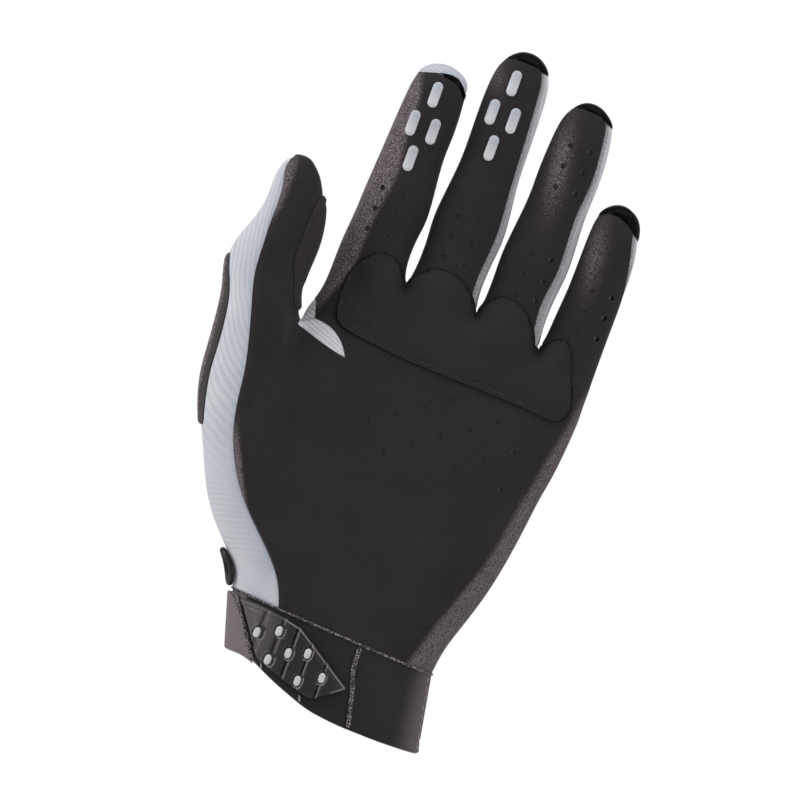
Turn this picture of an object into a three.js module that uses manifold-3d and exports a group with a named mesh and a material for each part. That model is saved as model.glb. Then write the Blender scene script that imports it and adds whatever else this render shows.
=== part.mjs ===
import * as THREE from 'three';
import { mergeVertices } from 'three/addons/utils/BufferGeometryUtils.js';
import Module from 'manifold-3d';

const wasm = await Module();
wasm.setup();

// A left glove that stands on its cuff, in millimetres: X runs to the little finger,
// the palm faces -Y and Z runs up to the fingertips. The origin is in the cuff's mouth.

// Hand sizes
const PALM_LENGTH = 113;
const PALM_DEPTH = 27;
const WRIST_WIDTH = 70;
const WRIST_DEPTH = 42;
const WRIST_SHIFT = -5.2;
const WRIST_SLANT = 4.5;
const PALM_HOLLOW = 2.5;
const HOLLOW_SHIFT = 8;
const KNUCKLE_SHIFT = 3.4;
const FINGER_GAP = 2.4;
const LITTLE_GAP = 1.7;
const WEB_INSET = 3.4;
const THUMB_GAP = 0.8;
const THUMB_FORWARD = 13.5;
const FINGER_CURL = 6;
const THUMB_BLEND = 14;

const THUMB_WIDTH = 25.4;
const THUMB_LENGTH = 49.6;
const THUMB_DEPTH = 24;
const INDEX_WIDTH = 23.2;
const INDEX_LENGTH = 70;
const INDEX_DEPTH = 19;
const MIDDLE_WIDTH = 22.1;
const MIDDLE_LENGTH = 83;
const MIDDLE_DEPTH = 19.5;
const RING_WIDTH = 20.8;
const RING_LENGTH = 77;
const RING_DEPTH = 18.5;
const LITTLE_WIDTH = 19;
const LITTLE_LENGTH = 51.7;
const LITTLE_DEPTH = 16.5;

// Layers
const CLOTH = 1.5;
const NEOPRENE = 2.4;
const OVERLAY = 0.9;
const GRIP_HEIGHT = 0.7;
const TIP_CAP = 0.7;
const CLEARANCE = 0.3;

// Trim
const HOLE = 1.7;
const HOLE_COLUMN = 7.9;
const HOLE_PITCH = 12.6;
const FINGER_HOLE_COLUMN = 6.5;
const FINGER_HOLE_PITCH = 7;
const GRIP_WIDTH = 3.4;
const GRIP_LENGTH = 8.7;
const CUFF_LENGTH = 23;
const CUFF_WIDTH = 68.8;
const CUFF_DEPTH = 44;
const PIPING = 1.1;
const STRAP = 1.4;
const TAB = 2;
const TAB_LENGTH = 43;
const TAB_OVERHANG = 3.6;
const TAB_GROOVE = 0.7;
const TAB_PILL_WIDTH = 2.4;
const TAB_PILL_LENGTH = 3.7;
const TAB_PILL_HEIGHT = 0.6;
const GUSSET_LENGTH = 18;
const RING_PAD_LENGTH = 13;
const RING_PAD_WIDTH = 9;
const RING_PAD_SECTION = 2;

const DEGREE = Math.PI / 180;
const lerp = THREE.MathUtils.lerp;
const smooth = (t) => THREE.MathUtils.smoothstep(t, 0, 1);

// Places that follow from the sizes: the fingers stand side by side on the palm, and
// the thumb stands at its left edge.
const wristLeft = WRIST_SHIFT - WRIST_WIDTH / 2;
const wristRight = WRIST_SHIFT + WRIST_WIDTH / 2;
const wristHeight = CUFF_LENGTH;
const crotchHeight = wristHeight + PALM_LENGTH;
const middleRight = KNUCKLE_SHIFT - FINGER_GAP / 2;
const middleLeft = middleRight - MIDDLE_WIDTH;
const indexRight = middleLeft - FINGER_GAP;
const indexLeft = indexRight - INDEX_WIDTH;
const ringLeft = KNUCKLE_SHIFT + FINGER_GAP / 2;
const ringRight = ringLeft + RING_WIDTH;
const littleLeft = ringRight + LITTLE_GAP;
const littleRight = littleLeft + LITTLE_WIDTH;
const palmWidth = littleRight - indexLeft;
const crotchX = indexLeft - WEB_INSET;
const thumbRight = crotchX - THUMB_GAP;
const thumbLeft = thumbRight - THUMB_WIDTH;

// Crotch heights as shares of the palm's length, from the thumb's to the little finger's
const crotches = [
  { x: (thumbRight + crotchX) / 2, up: 0.805 },
  { x: (indexRight + middleLeft) / 2, up: 1.004 },
  { x: (middleRight + ringLeft) / 2, up: 1 },
  { x: (ringRight + littleLeft) / 2, up: 0.96 },
];
const palmZ = (up) => wristHeight + up * PALM_LENGTH;
const footZ = (a, b) => palmZ((crotches[a].up + crotches[b].up) / 2);

// Digits. Each row is a ring: along is a share of the digit's length, left and right
// are shares of its width from its centre line, deep is a share of its depth, and seam
// is the angle in degrees from the digit's edge round to the side seam.
const digits = [
  {
    name: 'thumb', centre: thumbRight - THUMB_WIDTH / 2, width: THUMB_WIDTH, length: THUMB_LENGTH,
    depth: THUMB_DEPTH, base: footZ(0, 0), tip: -0.126, capOnPalm: true, rightOnPalm: 4,
    rows: [
      { along: 0.1, left: -0.547, right: 0.425, deep: 1, seam: 78 },
      { along: 0.22, left: -0.598, right: 0.382, deep: 0.97, seam: 79 },
      { along: 0.34, left: -0.579, right: 0.386, deep: 0.94, seam: 76 },
      { along: 0.46, left: -0.496, right: 0.398, deep: 0.9, seam: 67 },
      { along: 0.58, left: -0.425, right: 0.382, deep: 0.86, seam: 58 },
      { along: 0.7, left: -0.394, right: 0.331, deep: 0.81, seam: 56 },
      { along: 0.82, left: -0.392, right: 0.24, deep: 0.73, seam: 50 },
      { along: 0.91, left: -0.35, right: 0.138, deep: 0.58, seam: 32 },
      { along: 0.965, left: -0.283, right: 0.03, deep: 0.38, seam: 20 },
    ],
  },
  {
    name: 'index', centre: indexRight - INDEX_WIDTH / 2, width: INDEX_WIDTH, length: INDEX_LENGTH,
    depth: INDEX_DEPTH, base: footZ(1, 1), tip: 0.065, rightOnPalm: 2,
    rows: [
      { along: 0.08, left: -0.496, right: 0.474, deep: 1.09, seam: -12 },
      { along: 0.22, left: -0.461, right: 0.483, deep: 1.04, seam: -12 },
      { along: 0.34, left: -0.444, right: 0.513, deep: 1.04, seam: -12 },
      { along: 0.56, left: -0.401, right: 0.453, deep: 0.95, seam: -12 },
      { along: 0.7, left: -0.375, right: 0.461, deep: 0.92, seam: -12 },
      { along: 0.83, left: -0.345, right: 0.448, deep: 0.85, seam: -12 },
      { along: 0.91, left: -0.306, right: 0.422, deep: 0.72, seam: -12 },
      { along: 0.96, left: -0.22, right: 0.366, deep: 0.54, seam: -5 },
    ],
  },
  {
    name: 'middle', centre: middleRight - MIDDLE_WIDTH / 2, width: MIDDLE_WIDTH, length: MIDDLE_LENGTH,
    depth: MIDDLE_DEPTH, base: footZ(1, 2), tip: 0.016, rightOnPalm: 0,
    rows: [
      { along: 0.07, left: -0.5, right: 0.509, deep: 1.09, seam: 37 },
      { along: 0.19, left: -0.486, right: 0.527, deep: 1.04, seam: 36 },
      { along: 0.31, left: -0.5, right: 0.559, deep: 1.04, seam: 37 },
      { along: 0.48, left: -0.437, right: 0.495, deep: 0.96, seam: 34 },
      { along: 0.6, left: -0.421, right: 0.473, deep: 0.93, seam: 35 },
      { along: 0.75, left: -0.428, right: 0.462, deep: 0.9, seam: 40 },
      { along: 0.86, left: -0.41, right: 0.441, deep: 0.81, seam: 43 },
      { along: 0.93, left: -0.351, right: 0.387, deep: 0.67, seam: 43 },
      { along: 0.97, left: -0.229, right: 0.274, deep: 0.48, seam: 43 },
    ],
  },
  {
    name: 'ring', centre: ringRight - RING_WIDTH / 2, width: RING_WIDTH, length: RING_LENGTH,
    depth: RING_DEPTH, base: footZ(2, 3), tip: 0.053, rightOnPalm: 0,
    rows: [
      { along: 0.09, left: -0.502, right: 0.5, deep: 1.09, seam: 46 },
      { along: 0.22, left: -0.495, right: 0.529, deep: 1.04, seam: 46 },
      { along: 0.34, left: -0.486, right: 0.5625, deep: 1.04, seam: 45 },
      { along: 0.53, left: -0.413, right: 0.529, deep: 0.96, seam: 47 },
      { along: 0.66, left: -0.409, right: 0.548, deep: 0.93, seam: 41 },
      { along: 0.8, left: -0.385, right: 0.534, deep: 0.87, seam: 42 },
      { along: 0.89, left: -0.346, right: 0.486, deep: 0.76, seam: 42 },
      { along: 0.945, left: -0.269, right: 0.423, deep: 0.61, seam: 42 },
      { along: 0.98, left: -0.144, right: 0.274, deep: 0.4, seam: 42 },
    ],
  },
  {
    name: 'little', centre: littleRight - LITTLE_WIDTH / 2, width: LITTLE_WIDTH, length: LITTLE_LENGTH,
    depth: LITTLE_DEPTH, base: footZ(3, 3), tip: -0.01, rightOnPalm: 2,
    rows: [
      { along: 0.1, left: -0.489, right: 0.5, deep: 1.1, seam: -25 },
      { along: 0.25, left: -0.458, right: 0.5, deep: 1.05, seam: -20 },
      { along: 0.4, left: -0.426, right: 0.5, deep: 1.03, seam: -6 },
      { along: 0.55, left: -0.416, right: 0.5, deep: 0.99, seam: 14 },
      { along: 0.7, left: -0.41, right: 0.484, deep: 0.94, seam: 33 },
      { along: 0.83, left: -0.395, right: 0.416, deep: 0.84, seam: 40 },
      { along: 0.92, left: -0.337, right: 0.337, deep: 0.68, seam: 44 },
      { along: 0.97, left: -0.216, right: 0.221, deep: 0.45, seam: 44 },
    ],
  },
];

// The palm below the thumb's crotch. Each row is a ring: up is a share of the palm's
// length. The other columns run from 0 at the wrist to 1 at the thumb's crotch or the
// knuckles, but for seam, a share of the thumb's width in from the left edge.
const palmRows = [
  { up: 0, left: 0, right: 0, seam: 0.642, inner: 0, forward: 0, thumbDeep: 0, palmLeft: 0, palmDeep: 0 },
  { up: 0.08, left: 0.124, right: 0.085, seam: 0.654, inner: 0.073, forward: 0.07, thumbDeep: 0.11,
    palmLeft: 0.41, palmDeep: 0.17 },
  { up: 0.168, left: 0.358, right: 0.293, seam: 0.646, inner: 0.225, forward: 0.22, thumbDeep: 0.23,
    palmLeft: 0.73, palmDeep: 0.36 },
  { up: 0.265, left: 0.544, right: 0.5, seam: 0.504, inner: 0.402, forward: 0.41, thumbDeep: 0.34,
    palmLeft: 0.95, palmDeep: 0.54 },
  { up: 0.363, left: 0.687, right: 0.634, seam: 0.421, inner: 0.554, forward: 0.59, thumbDeep: 0.455,
    palmLeft: 1.05, palmDeep: 0.69 },
  { up: 0.46, left: 0.825, right: 0.732, seam: 0.449, inner: 0.693, forward: 0.74, thumbDeep: 0.57,
    palmLeft: 1.05, palmDeep: 0.8 },
  { up: 0.557, left: 0.915, right: 0.817, seam: 0.504, inner: 0.807, forward: 0.85, thumbDeep: 0.68,
    palmLeft: 1.05, palmDeep: 0.886 },
  { up: 0.646, left: 0.944, right: 0.921, seam: 0.488, inner: 0.895, forward: 0.925, thumbDeep: 0.82,
    palmLeft: 1.05, palmDeep: 0.94 },
  { up: 0.779, left: 0.983, right: 1, seam: 0.382, inner: 1, forward: 1, thumbDeep: 1,
    palmLeft: 1, palmDeep: 1 },
];

// The palm between the thumb's crotch and the knuckles. Side is the share of the way
// from the crotch's edge to the index finger's, and scallop how far the finger bases show.
const knuckleRows = [
  { up: 0.836, side: 0.12, deep: 1, scallop: 0.15 },
  { up: 0.894, side: 0.75, deep: 0.98, scallop: 0.45 },
  { up: 0.958, side: 1, deep: 0.94, scallop: 0.9 },
];

// Cage. A ring has four faces across the front of each digit, four round each edge and
// as many at the back, so the digits' rings share the palm's points.
const FACES = 4;
const points = [];
const quads = [];
const addPoint = (x, y, z) => points.push(new THREE.Vector3(x, y, z)) - 1;

const PALM_POWER = 3;
const DIGIT_POWER = 2.2;
const BACK_CORNER = -52;
const FRONT_CORNER = 42;

const bulge = (u, power) => (Math.abs(u) < 1 ? (1 - Math.abs(u) ** power) ** (1 / power) : 0);

// A point on a section's edge, by its angle from the edge round to the palm side
function rim(section, side, angle) {
  const turn = Math.sin(angle * DEGREE);
  const reach = section.halfWidth * bulge(turn, section.power);
  return [section.x + side * reach, section.y - section.halfDepth * turn];
}

// Height of a section over the middle plane at x, towards the palm or the back. Its inner
// half may fall away as a mound, and not as a round edge.
function rise(section, x, towards) {
  const u = (x - section.x) / section.halfWidth;
  const round = Math.abs(u) < 1 ? bulge(u, section.power) : -3 * (Math.abs(u) - 1);
  const mound = u < 1 ? Math.cos((u * Math.PI) / 2) ** 2 : 0;
  const over = u > 0 ? lerp(round, mound, section.mound ?? 0) : round;
  return towards * section.y + section.halfDepth * over;
}

// The greater of two sections' heights, with the crease between them rounded over
function blendedRise(sections, x, towards, blend) {
  const [a, b] = sections.map((section) => rise(section, x, towards));
  if (blend === 0) return Math.max(a, b);
  const near = Math.max(blend - Math.abs(a - b), 0) / blend;
  return Math.max(a, b) + (near * near * blend) / 4;
}

// Slant of the wrist seam, which fades out up the palm
const slant = (x, up) => -WRIST_SLANT * ((x - WRIST_SHIFT) / WRIST_WIDTH) * (1 - smooth(up / 0.3));

function hollow(x, z) {
  const dx = (x - KNUCKLE_SHIFT + HOLLOW_SHIFT) / (palmWidth * 0.28);
  const dz = (z - palmZ(0.56)) / (PALM_LENGTH * 0.3);
  return PALM_HOLLOW * Math.exp(-dx * dx - dz * dz);
}

const spread = (from, to, steps) => Array.from({ length: steps + 1 }, (_, i) => lerp(from, to, i / steps));

// The palm's columns: boundaries of the digits' blocks, evenly filled in between
function columns(bounds) {
  const xs = [bounds[0]];
  for (let k = 1; k < bounds.length; k += 1) xs.push(...spread(bounds[k - 1], bounds[k], FACES).slice(1));
  return xs;
}

const loopOf = (row) => [...row.front, ...row.right, ...[...row.back].reverse(), ...[...row.left].reverse()];

// Joins two rings with quads, and labels each by where it lies
function joinRings(lower, upper, across, label) {
  const a = loopOf(lower);
  const b = loopOf(upper);
  const parts = [
    ...Array(across).fill('front'), ...Array(FACES).fill('right'),
    ...Array(across).fill('back'), ...Array(FACES).fill('left'),
  ];
  parts.forEach((part, i) => {
    const j = (i + 1) % a.length;
    const step = part === 'right' ? i - across : i;
    quads.push({ corners: [a[i], a[j], b[j], b[i]], panel: label(part, step), part, digit: upper.digit });
  });
}

const palmLabel = (leftPanel) => (part, step) => {
  if (part === 'right') return step < 2 ? 'palm' : 'back';
  if (part === 'left') return leftPanel;
  return part === 'front' ? 'palm' : 'back';
};

const rightAngles = (seam) => {
  const corner = Math.max(FRONT_CORNER, seam + 30);
  return [corner, (corner + seam) / 2, seam, (seam + BACK_CORNER) / 2, BACK_CORNER];
};

function palmRing(row) {
  const z = palmZ(row.up);
  const left = lerp(wristLeft, thumbLeft, row.left);
  const right = lerp(wristRight, littleRight, row.right);
  const inner = lerp(wristRight, thumbRight, row.inner);
  const palmLeft = lerp(wristLeft, crotchX, row.palmLeft);
  const thumbSection = {
    x: (left + inner) / 2, halfWidth: (inner - left) / 2, y: -THUMB_FORWARD * row.forward,
    halfDepth: lerp(WRIST_DEPTH, THUMB_DEPTH, row.thumbDeep) / 2, power: DIGIT_POWER,
    mound: Math.min(1, row.up / 0.2) * (1 - smooth((row.up - 0.4) / 0.379)),
  };
  const palmSection = {
    x: (palmLeft + right) / 2, halfWidth: (right - palmLeft) / 2, y: 0,
    halfDepth: lerp(WRIST_DEPTH, PALM_DEPTH, row.palmDeep) / 2,
    power: lerp(DIGIT_POWER, PALM_POWER, row.palmDeep),
  };
  const both = [thumbSection, palmSection];
  const seamX = left + THUMB_WIDTH * row.seam;
  const seamAngle = Math.acos((thumbSection.x - seamX) / thumbSection.halfWidth) / DEGREE;
  const rightRim = rightAngles(-25).map((angle) => rim(palmSection, 1, angle));
  const leftRim = spread(seamAngle, BACK_CORNER, FACES).map((angle) => rim(thumbSection, -1, angle));
  const share = smooth(row.up / 0.779);
  const blend = THUMB_BLEND * smooth(row.up / 0.35);
  const inside = crotches.map((crotch, k) => {
    const even = (k + 1) / (crotches.length + 1);
    return (low, high) => lerp(lerp(low, high, even), crotch.x, share);
  });
  const frontXs = columns([seamX, ...inside.map((at) => at(seamX, rightRim[0][0])), rightRim[0][0]]);
  const [backLeft, backRight] = [leftRim[4][0], rightRim[4][0]];
  const backXs = columns([backLeft, ...inside.map((at) => at(backLeft, backRight)), backRight]);
  const put = (x, y) => addPoint(x, y, z + slant(x, row.up));
  return {
    front: frontXs.map((x) => put(x, -blendedRise(both, x, -1, blend) + hollow(x, z))),
    right: rightRim.slice(1, 4).map(([x, y]) => put(x, y)),
    back: backXs.map((x) => put(x, blendedRise(both, x, 1, blend))),
    left: leftRim.slice(1, 4).map(([x, y]) => put(x, y)),
  };
}

function knuckleRing(row, isTop) {
  const left = lerp(crotchX, indexLeft, row.side);
  const section = {
    x: (left + littleRight) / 2, halfWidth: (littleRight - left) / 2, y: 0,
    halfDepth: (PALM_DEPTH * row.deep) / 2, power: PALM_POWER,
  };
  const rightRim = rightAngles(-25).map((angle) => rim(section, 1, angle));
  const leftRim = spread(FRONT_CORNER, BACK_CORNER, FACES).map((angle) => rim(section, -1, angle));
  const inside = crotches.slice(1).map((crotch) => crotch.x);
  const fall = (x) => {
    if (!isTop) return 0;
    const k = crotches.slice(1).findIndex((crotch) => x < crotch.x + 0.01);
    const last = crotches[crotches.length - 1];
    if (k <= 0) return k === 0 ? (crotches[1].up - 1) * PALM_LENGTH : (last.up - 1) * PALM_LENGTH;
    const a = crotches[k];
    const b = crotches[k + 1];
    return lerp(a.up - 1, b.up - 1, (x - a.x) / (b.x - a.x)) * PALM_LENGTH;
  };
  const scallopAt = (j) => 1 - 0.24 * row.scallop * (j % FACES === 0 ? 1 : j % 2 === 1 ? 0.3 : 0);
  const ring = (xs, towards, inEnds) => xs.map((x, j) => {
    const ends = j === 0 || j === xs.length - 1;
    const height = rise(section, x, towards) * (ends ? 1 : scallopAt(j));
    const dent = towards < 0 ? hollow(x, palmZ(row.up)) : 0;
    return addPoint(x, towards * height + dent, palmZ(row.up) + fall(x));
  });
  const frontXs = columns([leftRim[0][0], ...inside, rightRim[0][0]]);
  const backXs = columns([leftRim[4][0], ...inside, rightRim[4][0]]);
  const put = ([x, y]) => addPoint(x, y, palmZ(row.up) + fall(x));
  return {
    front: ring(frontXs, -1),
    right: rightRim.slice(1, 4).map(put),
    back: ring(backXs, 1),
    left: leftRim.slice(1, 4).map(put),
  };
}

// The web in a crotch: three points from the palm side to the back
function web(crotch, front, back) {
  const z = palmZ(crotch.up);
  return [0.28, 0.5, 0.72].map((share) => {
    const y = lerp(points[front].y, points[back].y, share);
    return addPoint(crotch.x, y, z);
  });
}

// A block of the ring that a digit stands on
const block = (row, from, left, right) => ({
  front: row.front.slice(from, from + FACES + 1),
  back: row.back.slice(from, from + FACES + 1),
  left, right,
});

function digitRing(digit, row) {
  const left = digit.centre + digit.width * row.left;
  const right = digit.centre + digit.width * row.right;
  const isThumb = digit.name === 'thumb';
  const section = {
    x: (left + right) / 2, halfWidth: (right - left) / 2,
    y: (isThumb ? -THUMB_FORWARD : 0) - FINGER_CURL * row.along ** 2,
    halfDepth: (digit.depth * row.deep) / 2, power: DIGIT_POWER,
  };
  const z = digit.base + digit.length * row.along;
  const put = ([x, y]) => addPoint(x, y, z);
  const leftAngles = spread(isThumb ? row.seam : FRONT_CORNER, BACK_CORNER, FACES);
  let onRight = spread(isThumb ? FRONT_CORNER : row.seam, BACK_CORNER, FACES);
  if (!isThumb && digit.rightOnPalm) onRight = rightAngles(row.seam);
  const across = (from, to) => spread(180 - from, to, FACES).map((angle) => {
    const cos = Math.cos(angle * DEGREE);
    return rim(section, Math.sign(cos) || 1, Math.sign(cos) < 0 ? 180 - angle : angle);
  });
  return {
    front: across(leftAngles[0], onRight[0]).map(put),
    right: onRight.slice(1, 4).map((angle) => put(rim(section, 1, angle))),
    back: spread(-180 - leftAngles[4], onRight[4], FACES).map((angle) => {
      const cos = Math.cos(angle * DEGREE);
      return put(rim(section, Math.sign(cos) || 1, Math.sign(cos) < 0 ? -180 - angle : angle));
    }),
    left: leftAngles.slice(1, 4).map((angle) => put(rim(section, -1, angle))),
  };
}

// Closes a digit's last ring with a dome of quads
function closeTip(digit, ring) {
  const loop = loopOf(ring);
  const size = FACES;
  const grid = [];
  const tip = new THREE.Vector3(digit.centre + digit.width * digit.tip, 0, digit.base + digit.length);
  tip.y = loop.reduce((sum, p) => sum + points[p].y, 0) / loop.length;
  const at = (i, j) => {
    if (j === 0) return loop[i];
    if (i === size) return loop[size + j];
    if (j === size) return loop[3 * size - i];
    if (i === 0) return loop[(4 * size - j) % loop.length];
    return null;
  };
  const share = 0.55;
  for (let i = 0; i <= size; i += 1) {
    grid.push([]);
    for (let j = 0; j <= size; j += 1) {
      let index = at(i, j);
      if (index === null) {
        const centre = i === 2 && j === 2;
        const edge = points[at(2 + 2 * (i - 2), 2 + 2 * (j - 2)) ?? loop[0]];
        const flat = centre ? tip : tip.clone().lerp(edge, share);
        index = addPoint(flat.x, flat.y, centre ? tip.z : tip.z - (tip.z - edge.z) * share ** 2);
      }
      grid[i].push(index);
    }
  }
  for (let i = 0; i < size; i += 1) {
    for (let j = 0; j < size; j += 1) {
      const corners = [grid[i][j], grid[i + 1][j], grid[i + 1][j + 1], grid[i][j + 1]];
      quads.push({ corners, panel: digit.capOnPalm ? 'palm' : 'back', digit: digit.name });
    }
  }
}

function buildDigit(digit, base) {
  let lower = base;
  const label = (part, step) => {
    if (part === 'right') return step < digit.rightOnPalm ? 'palm' : 'back';
    if (part === 'left') return digit.name === 'thumb' ? 'back' : 'palm';
    return part === 'front' ? 'palm' : 'back';
  };
  digit.rows.forEach((row) => {
    const upper = { ...digitRing(digit, row), digit: digit.name };
    joinRings(lower, upper, FACES, label);
    lower = upper;
  });
  closeTip(digit, lower);
}

// Cage of the whole hand
let ring = palmRing(palmRows[0]);
const wristRing = loopOf(ring);
palmRows.slice(1).forEach((row) => {
  const next = palmRing(row);
  joinRings(ring, next, FACES * digits.length, palmLabel('back'));
  ring = next;
});
const thumbWeb = web(crotches[0], ring.front[FACES], ring.back[FACES]);
buildDigit(digits[0], block(ring, 0, ring.left, thumbWeb));
ring = { front: ring.front.slice(FACES), back: ring.back.slice(FACES), right: ring.right, left: thumbWeb };
knuckleRows.forEach((row, i) => {
  const next = knuckleRing(row, i === knuckleRows.length - 1);
  joinRings(ring, next, FACES * (digits.length - 1), palmLabel('palm'));
  ring = next;
});
const webs = crotches.slice(1).map((crotch, k) => {
  const column = FACES * (k + 1);
  return web(crotch, ring.front[column], ring.back[column]);
});
digits.slice(1).forEach((digit, k) => {
  const last = k === digits.length - 2;
  buildDigit(digit, block(ring, FACES * k, k === 0 ? ring.left : webs[k - 1], last ? ring.right : webs[k]));
});

// Evens out the depth of the palm and of the hand's back, between the seams and the digits
const held = new Set(wristRing);
const neighbours = points.map(() => new Set());
quads.forEach(({ corners, part, digit }) => corners.forEach((p, i) => {
  neighbours[p].add(corners[(i + 1) % 4]).add(corners[(i + 3) % 4]);
  if (digit || part === 'left' || part === 'right') held.add(p);
}));
const FAIRING_PASSES = 8;
for (let pass = 0; pass < FAIRING_PASSES; pass += 1) {
  const evened = points.map(({ y }, p) => {
    const around = [...neighbours[p]].reduce((sum, q) => sum + points[q].y, 0) / neighbours[p].size;
    return held.has(p) ? y : (y + around) / 2;
  });
  evened.forEach((y, p) => { points[p].y = y; });
}

// Normals of the cage, for the layers inside and outside it
const normals = points.map(() => new THREE.Vector3());
quads.forEach(({ corners }) => {
  const [a, b, c, d] = corners.map((i) => points[i]);
  const across = c.clone().sub(a).cross(d.clone().sub(b));
  corners.forEach((i) => normals[i].add(across));
});
normals.forEach((normal) => normal.normalize());

// A closed solid between two heights over a set of the cage's faces. Border is how far
// its edges draw back, so that two panels keep a gap at their seam.
function layer(faces, low, high, border = 0) {
  const edges = new Set(faces.flatMap(({ corners: c }) => c.map((p, i) => `${p} ${c[(i + 1) % 4]}`)));
  const open = [...edges].filter((edge) => !edges.has(edge.split(' ').reverse().join(' ')));
  const rimPoints = open.flatMap((edge) => edge.split(' ').map(Number));
  const inward = new Map(rimPoints.map((p) => [p, new THREE.Vector3()]));
  faces.forEach(({ corners }) => {
    const middle = corners.reduce((sum, p) => sum.add(points[p]), new THREE.Vector3()).divideScalar(4);
    corners.filter((p) => inward.has(p)).forEach((p) => inward.get(p).add(middle.clone().sub(points[p])));
  });
  const order = new Map([...new Set(faces.flatMap(({ corners }) => corners))].map((p, i) => [p, i]));
  const place = (p, height) => {
    const spot = points[p].clone().addScaledVector(normals[p], height);
    return inward.has(p) ? spot.addScaledVector(inward.get(p).clone().normalize(), border) : spot;
  };
  const skinAt = (height) => [...order.keys()].flatMap((p) => place(p, height).toArray());
  const positions = [...skinAt(high), ...skinAt(low)];
  const under = order.size;
  const triangles = faces.flatMap(({ corners }) => {
    const [a, b, c, d] = corners.map((p) => order.get(p));
    return [a, b, c, a, c, d, under + a, under + c, under + b, under + a, under + d, under + c];
  });
  open.forEach((edge) => {
    const ends = edge.split(' ').map(Number);
    const [a, b] = ends.map((p) => order.get(p));
    if (ends[0] < ends[1]) triangles.push(b, a, under + a, b, under + a, under + b);
    else triangles.push(a, under + b, b, a, under + a, under + b);
  });
  return new wasm.Manifold(new wasm.Mesh({
    numProp: 3, vertProperties: new Float32Array(positions), triVerts: new Uint32Array(triangles),
  }));
}

function solidOf(geometry) {
  geometry.deleteAttribute('normal');
  geometry.deleteAttribute('uv');
  const merged = mergeVertices(geometry, 1e-4);
  return new wasm.Manifold(new wasm.Mesh({
    numProp: 3, vertProperties: merged.attributes.position.array,
    triVerts: new Uint32Array(merged.index.array),
  }));
}

function geometryOf(solid) {
  const mesh = solid.getMesh();
  const geometry = new THREE.BufferGeometry();
  const stride = mesh.numProp;
  const flat = new Float32Array((mesh.vertProperties.length / stride) * 3);
  for (let i = 0; i * stride < mesh.vertProperties.length; i += 1) {
    flat.set(mesh.vertProperties.slice(i * stride, i * stride + 3), i * 3);
  }
  geometry.setAttribute('position', new THREE.BufferAttribute(flat, 3));
  geometry.setIndex(new THREE.BufferAttribute(new Uint32Array(mesh.triVerts), 1));
  geometry.computeVertexNormals();
  return geometry;
}

// Joins a run of solids
const joined = (solids) => solids.reduce((sum, solid) => sum.add(solid));

const shapeOf = (pairs) => new THREE.Shape(pairs.map(([x, z]) => new THREE.Vector2(x, z)));

// A prism of an outline in X and Z, between two values of Y
function prism(shape, yFrom, yTo, segments = 4) {
  const geometry = new THREE.ExtrudeGeometry(shape, {
    depth: yTo - yFrom, bevelEnabled: false, curveSegments: segments,
  });
  return solidOf(geometry.rotateX(Math.PI / 2).translate(0, yTo, 0));
}

const FAR = 80;
const through = (shape, segments) => prism(shape, -FAR, FAR, segments);
const onFront = (shape, segments) => prism(shape, -FAR, 0, segments);

// A ribbon of one width along a path in X and Z
function ribbon(path, width) {
  const curve = new THREE.CatmullRomCurve3(path.map(([x, z]) => new THREE.Vector3(x, 0, z)));
  const spots = spread(0, 1, 2 * path.length).map((t) => [curve.getPoint(t), curve.getTangent(t)]);
  const side = (sign) => spots.map(([at, along]) => [
    at.x + (sign * along.z * width) / 2, at.z - (sign * along.x * width) / 2,
  ]);
  return shapeOf([...side(1), ...side(-1).reverse()]);
}

// An upright pad with round ends
function stadium(x, z, width, length) {
  const radius = width / 2;
  const half = length / 2 - radius;
  const shape = new THREE.Shape();
  shape.absarc(x, z + half, radius, 0, Math.PI, false);
  shape.absarc(x, z - half, radius, Math.PI, 2 * Math.PI, false);
  return shape;
}

// Places on the hand, as shares across the knuckles and up the palm, or over a digit
const palmX = (across) => indexLeft + across * palmWidth;
const digitNamed = (name) => digits.find((digit) => digit.name === name);
const digitSpot = (digit, across, along) => [
  digit.centre + digit.width * across, digit.base + digit.length * along,
];

const onPanel = (name) => quads.filter((quad) => quad.panel === name);
const overPalm = (low, high) => layer(onPanel('palm').filter((quad) => quad.part === 'front'), low, high);
const overThumb = (low, high) => layer(onPanel('palm').filter((quad) => quad.digit === 'thumb'), low, high);
const overBack = (low, high) => layer(onPanel('back'), low, high);
const SEAM_BORDER = CLEARANCE * 0.7;

// Perforations: staggered columns over the palm, and a small grid on each finger
const palmHoleRows = [
  { column: 0, start: 0.594, count: 1 },
  { column: 1, start: 0.531, count: 2 },
  { column: 2, start: 0.576, count: 2 },
  { column: 3, start: 0.513, count: 3 },
  { column: 4, start: 0.56, count: 2 },
  { column: 5, start: 0.496, count: 3 },
  { column: 6, start: 0.545, count: 2 },
];
const fingerHoles = [
  { digit: 'index', across: -0.065, along: 0.275, columns: 2 },
  { digit: 'middle', across: -0.016, along: 0.231, columns: 2 },
  { digit: 'ring', across: 0.087, along: 0.717, columns: 2 },
  { digit: 'ring', across: 0.09, along: 0.24, columns: 2 },
  { digit: 'little', across: 0.147, along: 0.31, columns: 2 },
];
const FINGER_HOLE_ROWS = 3;
const HOLE_SIDES = 5;

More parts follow.
